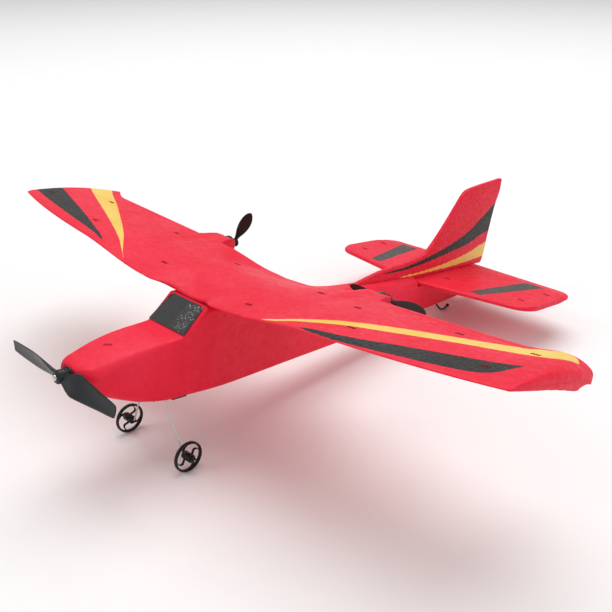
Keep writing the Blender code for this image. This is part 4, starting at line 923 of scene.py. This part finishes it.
shape = bmesh.new()
face = shape.faces.new([shape.verts.new((-FIN_THICKNESS / 2, y, z)) for y, z in fin_outline])
extruded = bmesh.ops.extrude_face_region(shape, geom=[face])
far_side = [corner for corner in extruded["geom"] if isinstance(corner, bmesh.types.BMVert)]
bmesh.ops.translate(shape, vec=(FIN_THICKNESS, 0, 0), verts=far_side)
bmesh.ops.recalc_face_normals(shape, faces=shape.faces)
fin_mesh = softened(finished(shape, "fin"), 0.9, 4, 50)

fin_lines = {
    "black_high": [
        (205, 12), (216, 15.2), (236, 16.2), (253, 18.4), (271, 22.0), (289, 26.9), (305, 33.0),
        (315, 39.4), (331, 49.6), (336, 53),
    ],
    "black_low": [
        (205, 18), (216, 15.0), (236, 14.4), (253, 15.6), (271, 18.0), (289, 20.6), (305, 23.4),
        (317, 27.6), (327, 30.0), (336, 32),
    ],
    "yellow_high": [
        (205, 6), (234, 10.2), (255, 10.8), (273, 12.0), (286, 13.4), (299, 15.2), (309, 17.2), (320, 20.6),
        (328, 22.2), (336, 24),
    ],
    "yellow_low": [
        (205, 14), (234, 10.0), (255, 9.5), (273, 9.6), (294, 9.9), (307, 10.7), (322, 11.8), (336, 12.6),
    ],
}
fin_stripes, _, out = new_group("fin_stripes", [], [("Black", "Float"), ("Yellow", "Float")])
spot = use_group(fin_stripes, airframe_place)["Place"]
apart = node(fin_stripes, "ShaderNodeSeparateXYZ")
fin_stripes.links.new(spot, apart.inputs[0])
ragged = mottle(fin_stripes, spot, 0.7)[0]
rag = sum_of(fin_stripes, "MULTIPLY", sum_of(fin_stripes, "SUBTRACT", ragged, 0.5), 2.2)
ragged_z = sum_of(fin_stripes, "ADD", apart.outputs[2], rag)
lines = drawn_lines(fin_stripes, apart.outputs[1], fin_lines, (200, 0), (140, 70))
for label in ("black", "yellow"):
    under = past(fin_stripes, lines[label + "_high"], ragged_z)
    over = past(fin_stripes, ragged_z, lines[label + "_low"])
    fin_stripes.links.new(sum_of(fin_stripes, "MULTIPLY", under, over), out[label.capitalize()])
fin_foam, tree, shader = new_material("painted_fin_sheet", 0.55)
beads = use_group(tree, foam_skin, Bead=2.2, Seam_Width=0.13)
stripes = use_group(tree, fin_stripes)
painted(tree, shader, beads, red_of_foam(tree, beads, 0.6), stripes["Black"], stripes["Yellow"])
bumped(tree, shader, beads["Height"], 0.4, 0.0006)
fin = stand("fin_sheet", fin_mesh, fin_foam, crease=30)
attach(fin, "root")
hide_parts("fin_foam")


# The nose propeller is one grey-black nylon moulding that only windmills: two broad twisted blades on a boss,
# turning on a steel pin in a plastic bush that is pressed into the foam.
moulded_plastic, given, out = new_group(
    "moulded_plastic",
    [("Flow", "Float", 0.5), ("Polish", "Float", 0.34), ("Haze", "Float", 0.12)],
    [("Roughness", "Float"), ("Tone", "Float"), ("Height", "Float")],
)
spot = use_group(moulded_plastic, airframe_place)["Place"]
flow = mottle(moulded_plastic, spot, given["Flow"], 6.0)[0]
hazy = sum_of(moulded_plastic, "MULTIPLY_ADD", flow, given["Haze"], given["Polish"])
moulded_plastic.links.new(hazy, out["Roughness"])
moulded_plastic.links.new(flow, out["Tone"])
moulded_plastic.links.new(mottle(moulded_plastic, spot, 7.0, 3.0)[0], out["Height"])


def plastic(name, dark, light, relief=0.06, **values):
    """A moulded plastic whose colour drifts between two tones, with its own polish."""
    material, tree, shader = new_material(name, 0.4)
    surface = use_group(tree, moulded_plastic, **values)
    tree.links.new(blend_colour(tree, surface["Tone"], dark, light), shader.inputs["Base Color"])
    tree.links.new(surface["Roughness"], shader.inputs["Roughness"])
    bumped(tree, shader, surface["Height"], relief, 0.0002)
    return material


def blade(stations, hand, turn, half_steps=9):
    """A twisted blade along +X from its radii, chord, pitch and thickness, turned about the hub's axis."""
    rings = []
    for radius in stations["radii"]:
        chord, pitch = stations["chord"](radius), math.radians(stations["pitch"](radius))
        thickness = stations["thickness"](radius)
        along = Vector((0, math.sin(pitch) * hand, math.cos(pitch)))
        across = Vector((0, math.cos(pitch), -math.sin(pitch) * hand))
        ring = []
        for side in (1, -1):
            for i in range(half_steps):
                angle = math.pi * i / half_steps
                share = -0.5 * math.cos(angle) * side
                bulk = thickness / 2 * math.sin(angle) ** 0.7
                bow = 0.05 * chord * (1 - (2 * share) ** 2)
                ring.append(Vector((radius, 0, 0)) + along * chord * share + across * (bulk * side + bow))
        rings.append(ring)
    mesh = skin(rings)
    mesh.transform(Matrix.Rotation(turn, 4, "Y"))
    return mesh


nose_blade = {
    "radii": [
        2.2, 3, 4, 5, 6, 7, 8, 9, 10, 11, 12, 13.5, 15, 17, 19, 22, 25, 28, 31, 34, 37, 39.5, 41, 41.6, 42,
    ],
    "chord": through(
        (2.2, 4.6), (5, 6.4), (8.5, 9.2), (12, 10.8), (20, 9.8), (31, 7.8), (41.0, 6.0), (42, 5.2),
    ),
    "pitch": through((2.2, 46), (5, 43), (8.5, 36), (12, 31), (20, 21), (31, 13), (42, 8)),
    "thickness": through((2.2, 2.3), (5, 1.9), (8.5, 1.6), (12, 1.4), (20, 1.2), (31, 1.0), (42, 0.6)),
}
hub = [
    (-2.6, 0.6), (-2.6, 2.6), (-2.35, 2.95), (-1.9, 3.2), (1.2, 3.2), (1.3, 2.9), (1.7, 2.9), (1.8, 3.2),
    (2.6, 3.2), (2.6, 0.6),
]
prop_mesh = worked(turned(hub), [blade(nose_blade, 1, turn) for turn in (0, math.pi)], "UNION")
grey_nylon = plastic(
    "grey_black_nylon", (0.012, 0.013, 0.014, 1), (0.026, 0.028, 0.03, 1), Flow=0.25, Polish=0.28,
)
nose_prop = stand("nose_propeller_moulding", prop_mesh, grey_nylon, crease=38)
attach(nose_prop, "nose_prop")
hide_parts("nose_propeller")

drawn_metal, given, out = new_group(
    "drawn_metal",
    [("Polish", "Float", 0.22), ("Streak", "Float", 0.16)],
    [("Roughness", "Float"), ("Tone", "Float"), ("Height", "Float")],
)
spot = use_group(drawn_metal, airframe_place)["Place"]
dull = mottle(drawn_metal, spot, 0.6)[0]
rough = sum_of(drawn_metal, "MULTIPLY_ADD", dull, given["Streak"], given["Polish"])
drawn_metal.links.new(rough, out["Roughness"])
drawn_metal.links.new(dull, out["Tone"])
drawn_metal.links.new(mottle(drawn_metal, spot, 6.0, 4.0)[0], out["Height"])


def metal(name, dark, light, **values):
    material, tree, shader = new_material(name, 0.3, 1.0)
    surface = use_group(tree, drawn_metal, **values)
    tree.links.new(blend_colour(tree, surface["Tone"], dark, light), shader.inputs["Base Color"])
    tree.links.new(surface["Roughness"], shader.inputs["Roughness"])
    bumped(tree, shader, surface["Height"], 0.05, 0.0001)
    return material


steel = metal("bright_steel", (0.50, 0.49, 0.47, 1), (0.66, 0.64, 0.61, 1))
pin_head = [
    (-3.8, 0), (-3.8, 0.7), (-3.7, 1.0), (-3.5, 1.2), (-3.05, 1.4), (-2.9, 1.4), (-2.9, 0.5), (14.0, 0.5),
    (14.1, 0.4), (14.1, 0),
]
axle = stand("nose_axle_pin", turned(pin_head, 40), steel)
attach(axle, "nose_prop")
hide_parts("nose_axle")
brass = metal("turned_brass", (0.55, 0.36, 0.12, 1), (0.75, 0.52, 0.2, 1))
ring = [(13.5, 0.6), (13.5, 1.45), (13.65, 1.6), (14.95, 1.6), (15.1, 1.45), (15.1, 0.6)]
collar = stand("nose_axle_collar_ring", turned(ring, 40), brass)
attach(collar, "nose_prop")
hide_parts("nose_axle_collar")
black_nylon = plastic("black_nylon", (0.012, 0.012, 0.013, 1), (0.028, 0.027, 0.026, 1), Polish=0.30)
bush_outline = [
    (2.9, 0.8), (2.9, 3.3), (3.1, 3.6), (3.9, 3.6), (3.9, 2.3), (13.0, 2.3), (13.2, 2.1), (13.2, 0.8),
]
bush = stand("nose_axle_bush_flanged", turned(bush_outline, 48), black_nylon)
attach(bush, "root")
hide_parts("nose_axle_bush")


# Each motor is a small brushed can in a plastic sleeve, pushed into the wing's hump from behind. A two-blade
# paddle propeller is pressed on its shaft. The two propellers are handed.
PUSHER_RADIUS, PUSHER_CHORD = 24.5, 6.6
pusher_chord = through(
    (0.07, 0.3), (0.16, 0.34), (0.26, 0.5), (0.38, 0.76), (0.5, 0.92), (0.62, 1.0), (0.74, 0.97),
    (0.84, 0.84), (0.92, 0.63), (0.97, 0.4), (1.0, 0.14),
)
pusher_blade = {
    "radii": [PUSHER_RADIUS * share for share in even(0.07, 0.94, 0.03) + [0.96, 0.975, 0.985, 0.993, 1.0]],
    "chord": lambda r: PUSHER_CHORD * pusher_chord(r / PUSHER_RADIUS),
    "pitch": lambda r: 52 - 30 * r / PUSHER_RADIUS,
    "thickness": lambda r: 1.5 - 0.9 * r / PUSHER_RADIUS,
}
paddle_nylon = plastic("brown_black_nylon", (0.014, 0.010, 0.010, 1), (0.034, 0.026, 0.025, 1), Polish=0.36)
cap_nylon = plastic("white_nylon", (0.62, 0.61, 0.58, 1), (0.78, 0.77, 0.74, 1), Polish=0.4)
lead_skin = plastic("red_lead_insulation", (0.35, 0.01, 0.01, 1), (0.55, 0.02, 0.02, 1), Polish=0.42)
for label, side, hand, rest in (("port", 1, 1, 0.0), ("starboard", -1, -1, math.radians(-57))):
    at_motor = Matrix.Translation((side * MOTOR_X, 0, MOTOR_HEIGHT))
    at_prop = Matrix.Translation((side * MOTOR_X, PUSHER_PLANE, MOTOR_HEIGHT))
    front = MOTOR_REAR - MOTOR_LENGTH
    boss = [
        (-2.3, 0.6), (-2.3, 2.1), (-1.9, 2.5), (-0.4, 2.5), (-0.3, 2.3), (0.1, 2.3), (0.2, 2.5), (1.6, 2.5),
        (2.1, 2.0), (2.3, 1.4), (2.3, 0.6),
    ]
    blades = [blade(pusher_blade, hand, rest + turn) for turn in (0, math.pi)]
    paddle_mesh = worked(turned(boss), blades, "UNION")
    paddle = stand(label + "_paddle_propeller", paddle_mesh, paddle_nylon, at_prop, 38)
    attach(paddle, label + "_prop")
    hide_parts(label + "_pusher_propeller")
    drum = [
        (front + 2, 0), (front + 2, 2.7), (front + 2.2, 2.7), (front + 12.5, 2.7), (front + 12.7, 2.5),
        (front + 12.7, 0.5), (MOTOR_REAR + 4.1, 0.5), (MOTOR_REAR + 4.2, 0.4), (MOTOR_REAR + 4.2, 0),
    ]
    rotor = stand(label + "_rotor_and_shaft", turned(drum, 40), steel, at_motor)
    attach(rotor, label + "_prop")
    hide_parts(label + "_motor_rotor")
    can = [
        (front, 3.0), (front, 3.3), (front + 0.4, 3.5), (MOTOR_REAR - 0.9, 3.5), (MOTOR_REAR - 0.5, 3.3),
        (MOTOR_REAR - 0.3, 2.6), (MOTOR_REAR - 0.3, 1.7), (MOTOR_REAR, 1.6), (MOTOR_REAR, 0.8),
        (MOTOR_REAR - 3, 0.8), (MOTOR_REAR - 3, 3.0),
    ]
    shell = stand(label + "_motor_shell", turned(can, 48), steel, at_motor)
    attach(shell, "root")
    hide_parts(label + "_motor_can")
    cap = [
        (front - 2.5, 0), (front - 2.5, 2.6), (front - 2.2, 2.9), (front - 0.6, 3.2), (front - 0.3, 3.2),
        (front - 0.3, 0),
    ]
    end_cap = stand(label + "_motor_cap", turned(cap, 48), cap_nylon, at_motor)
    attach(end_cap, "root")
    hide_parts(label + "_motor_end_cap")
    sleeve = [
        (MOTOR_REAR - 8, 3.8), (MOTOR_REAR - 8, 4.4), (MOTOR_REAR - 7.8, 4.6), (MOTOR_REAR - 0.5, 4.6),
        (MOTOR_REAR - 0.2, 4.4), (MOTOR_REAR - 0.2, 3.95), (MOTOR_REAR - 0.4, 3.8),
    ]
    holder = stand(label + "_motor_sleeve", turned(sleeve, 48), black_nylon, at_motor)
    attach(holder, "root")
    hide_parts(label + "_motor_holder")
    frame["nodes"][label + "_motor_leads"].data.materials.clear()
    frame["nodes"][label + "_motor_leads"].data.materials.append(lead_skin)


# The undercarriage is one bent steel wire held in the belly, with a spoked plastic wheel free on each end and
# a pressed cap outside it. The wheels' four spokes are swept like a fan's.
WHEEL_RADIUS, WHEEL_TRACK, WHEEL_STATION, WHEEL_DROP = 7.9, 49.0, 53.3, 46.06
WHEEL_RIM, WHEEL_WIDTH, HUB_LENGTH = 1.2, 2.2, 6.2
GEAR_WIRE_RADIUS, GEAR_WIRE_ROOT = 0.45, 7.0
BAY_COVER = 1.5
SPOKES, SPOKE_SWEEP, SPOKE_ROOT, SPOKE_DEPTH = 4, 0.75, 1.5, 0.72


def bar(points, radius, sides=20):
    """A closed round bar along points, its rings square to the path."""
    points = [Vector(point) for point in points]
    rings, normal = [], None
    for i, point in enumerate(points):
        along = (points[min(i + 1, len(points) - 1)] - points[max(i - 1, 0)]).normalized()
        normal = normal or along.orthogonal().normalized()
        normal = (normal - along * normal.dot(along)).normalized()
        across = along.cross(normal)
        turns = [2 * math.pi * k / sides for k in range(sides)]
        rings.append([point + radius * (math.cos(a) * normal + math.sin(a) * across) for a in turns])
    return skin(rings)


def bent(corners, bend, steps=8):
    """Swaps each inner corner of a path for a curve that starts and ends the bend's length away."""
    corners = [Vector(corner) for corner in corners]
    path = [corners[0]]
    for before, corner, after in zip(corners, corners[1:], corners[2:]):
        start = corner + (before - corner).normalized() * min(bend, (before - corner).length * 0.45)
        end = corner + (after - corner).normalized() * min(bend, (after - corner).length * 0.45)
        for i in range(steps + 1):
            t = i / steps
            path.append(start * (1 - t) ** 2 + corner * 2 * t * (1 - t) + end * t * t)
    return path + [corners[-1]]


axle_end = WHEEL_TRACK / 2 + HUB_LENGTH / 2 + GAP + 1.7
knee = WHEEL_TRACK / 2 - HUB_LENGTH / 2 - 0.9
bar_height = BAY_COVER + GAP + GEAR_WIRE_RADIUS - BELLY_DEPTH
half_wire = [
    (axle_end, WHEEL_STATION, -WHEEL_DROP), (knee, WHEEL_STATION, -WHEEL_DROP),
    (GEAR_WIRE_ROOT, WHEEL_STATION - 4.3, bar_height),
]
wire_path = bent(half_wire + [(-x, y, z) for x, y, z in reversed(half_wire)], 1.6)
wire = stand("undercarriage_wire", bar(wire_path, GEAR_WIRE_RADIUS), steel)
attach(wire, "root")
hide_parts("landing_gear_wire")

wheel_nylon = plastic("wheel_black_nylon", (0.008, 0.008, 0.008, 1), (0.020, 0.019, 0.018, 1), Polish=0.26)
for label, side in (("port", 1), ("starboard", -1)):
    at_wheel = Matrix.Translation((side * WHEEL_TRACK / 2, WHEEL_STATION, -WHEEL_DROP))
    middle = WHEEL_RADIUS - WHEEL_RIM / 2
    rim_turns = np.linspace(0, 2 * math.pi, 25)[:-1]
    rim = [(WHEEL_WIDTH / 2 * math.cos(a), middle + WHEEL_RIM / 2 * math.sin(a)) for a in rim_turns]
    tread = [(x, r if r < WHEEL_RADIUS - 0.12 else WHEEL_RADIUS) for x, r in rim]
    wheel_mesh = turned(tread, 96, "X")
    barrel = [
        (-3.1, 0.75), (-3.1, 1.8), (-2.8, 2.1), (-1.5, 2.1), (-1.35, 1.9), (-1.05, 1.9), (-0.9, 2.1),
        (0.9, 2.1), (1.05, 1.9), (1.35, 1.9), (1.5, 2.1), (2.8, 2.1), (3.1, 1.8), (3.1, 0.75),
    ]
    parts = [turned(barrel, 48, "X")]
    for spoke in range(SPOKES):
        rings = []
        for i in range(13):
            t = i / 12
            radius = SPOKE_ROOT + (WHEEL_RADIUS - WHEEL_RIM + 0.5 - SPOKE_ROOT) * t
            angle = 2 * math.pi / SPOKES * spoke + SPOKE_SWEEP * math.sin(math.pi * t) * side
            out_way = Vector((0, math.cos(angle), math.sin(angle)))
            round_way = Vector((0, -math.sin(angle), math.cos(angle)))
            wide = 0.5 + 0.28 * abs(2 * t - 1) ** 3
            ring = []
            for k in range(12):
                a = 2 * math.pi * k / 12
                reach = round_way * wide * math.cos(a) + Vector((1, 0, 0)) * SPOKE_DEPTH * math.sin(a)
                ring.append(out_way * radius + reach)
            rings.append(ring)
        parts.append(skin(rings))
    wheel = stand(label + "_spoked_wheel", worked(wheel_mesh, parts, "UNION"), wheel_nylon, at_wheel, 40)
    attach(wheel, label + "_wheel")
    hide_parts(label + "_wheel")
    start = side * (HUB_LENGTH / 2 + GAP)
    cap = [
        (start, 0.75), (start, 1.5), (start + side * 0.8, 1.5), (start + side * 1.2, 1.15),
        (start + side * 1.2, 0.75),
    ]
    wheel_cap = stand(label + "_wheel_retainer", turned(cap, 40, "X"), black_nylon, at_wheel)
    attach(wheel_cap, "root")
    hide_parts(label + "_wheel_cap")


# The tail skid is a bent black nylon rod with a bead on its end, pushed up into the foam under the tail.
SKID_STATION, SKID_REACH, SKID_DROP, SKID_RADIUS = 281.0, 8.2, 21.45, 0.6
skid_tip = SKID_STATION + SKID_REACH
skid_corners = [
    (0, SKID_STATION - 3, -10), (0, SKID_STATION - 1, 5.8 - SKID_DROP),
    (0, SKID_STATION + 2, 3.0 - SKID_DROP), (0, skid_tip - 3, 0.5 - SKID_DROP), (0, skid_tip, -SKID_DROP),
    (0, skid_tip + 3, 0.5 - SKID_DROP), (0, skid_tip + 5.2, 2.0 - SKID_DROP),
]
bead = bmesh.new()
bmesh.ops.create_uvsphere(bead, u_segments=32, v_segments=20, radius=1.15)
bead_mesh = finished(bead, "bead")
bead_mesh.transform(Matrix.Translation(skid_corners[-1]))
skid_mesh = worked(bar(bent(skid_corners, 1.4, 5), SKID_RADIUS), [bead_mesh], "UNION")
skid = stand("tail_skid_rod", skid_mesh, black_nylon, crease=50)
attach(skid, "root")
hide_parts("tail_skid")


# The belly bay is a black tub glued in the foam. It holds the battery pouch and the circuit board. Its cover
# carries the power switch and the charging socket, and is held by four screws.
for name, material in {
    "belly_tub": black_nylon,
    "belly_cover": black_nylon,
    "power_switch_case": black_nylon,
    "gear_wire_clamp": black_nylon,
    "power_switch_slider": cap_nylon,
    "charging_socket": steel,
    "belly_screw_1": steel,
    "belly_screw_2": steel,
    "belly_screw_3": steel,
    "belly_screw_4": steel,
    "circuit_board": plastic("green_board_mask", (0.01, 0.12, 0.035, 1), (0.02, 0.2, 0.06, 1), Polish=0.25),
    "battery": metal("silver_pouch_wrap", (0.42, 0.43, 0.45, 1), (0.6, 0.61, 0.63, 1), Polish=0.3),
}.items():
    frame["nodes"][name].data.materials.clear()
    frame["nodes"][name].data.materials.append(material)


# The studio is a white floor that runs on to the horizon, with a broad soft light overhead and softer ones in
# front and to port.
shape = bmesh.new()
bmesh.ops.create_grid(shape, x_segments=1, y_segments=1, size=6)
floor_mesh = finished(shape, "studio_floor")
floor_paint, tree, shader = new_material("white_studio_floor", 0.9)
speck = mottle(tree, node(tree, "ShaderNodeTexCoord").outputs["Object"], 30.0)[0]
floor_tone = blend_colour(tree, speck, (0.90, 0.90, 0.90, 1), (0.93, 0.93, 0.93, 1))
tree.links.new(floor_tone, shader.inputs["Base Color"])
shader.inputs["Specular IOR Level"].default_value = 0.1
floor_mesh.materials.append(floor_paint)
floor = bpy.data.objects.new("studio_floor", floor_mesh)
bpy.context.scene.collection.objects.link(floor)

world = bpy.data.worlds.new("studio")
world.use_nodes = True
world.node_tree.nodes["Background"].inputs[0].default_value = (1.0, 1.0, 1.0, 1)
world.node_tree.nodes["Background"].inputs[1].default_value = 0.5
bpy.context.scene.world = world


def soft_light(name, place, aim, size, power):
    light = bpy.data.lights.new(name, "AREA")
    light.shape = "DISK"
    light.size = size
    light.energy = power
    lamp = bpy.data.objects.new(name, light)
    lamp.location = place
    lamp.rotation_euler = (Vector(aim) - Vector(place)).to_track_quat("-Z", "Y").to_euler()
    bpy.context.scene.collection.objects.link(lamp)


middle = (0, 0, 0.04)
soft_light("overhead_softbox", (-0.5, 0.7, 2.6), middle, 2.8, 51.0)
soft_light("front_fill", (-1.2, -1.8, 1.6), middle, 1.2, 7.0)
soft_light("port_fill", (2.0, 0.2, 1.0), middle, 1.2, 6.0)

camera_data = bpy.data.cameras.new("studio_camera")
camera_data.lens = 48.94
camera_data.sensor_width = 36.0
camera_data.clip_start = 0.01
camera = bpy.data.objects.new("studio_camera", camera_data)
camera.location = (0.2994, -0.3178, 0.2385)
camera.rotation_euler = (Vector((0, -0.0174, 0.0456)) - camera.location).to_track_quat("-Z", "Y").to_euler()
bpy.context.scene.collection.objects.link(camera)
bpy.context.scene.camera = camera
bpy.context.scene.view_settings.view_transform = "Standard"
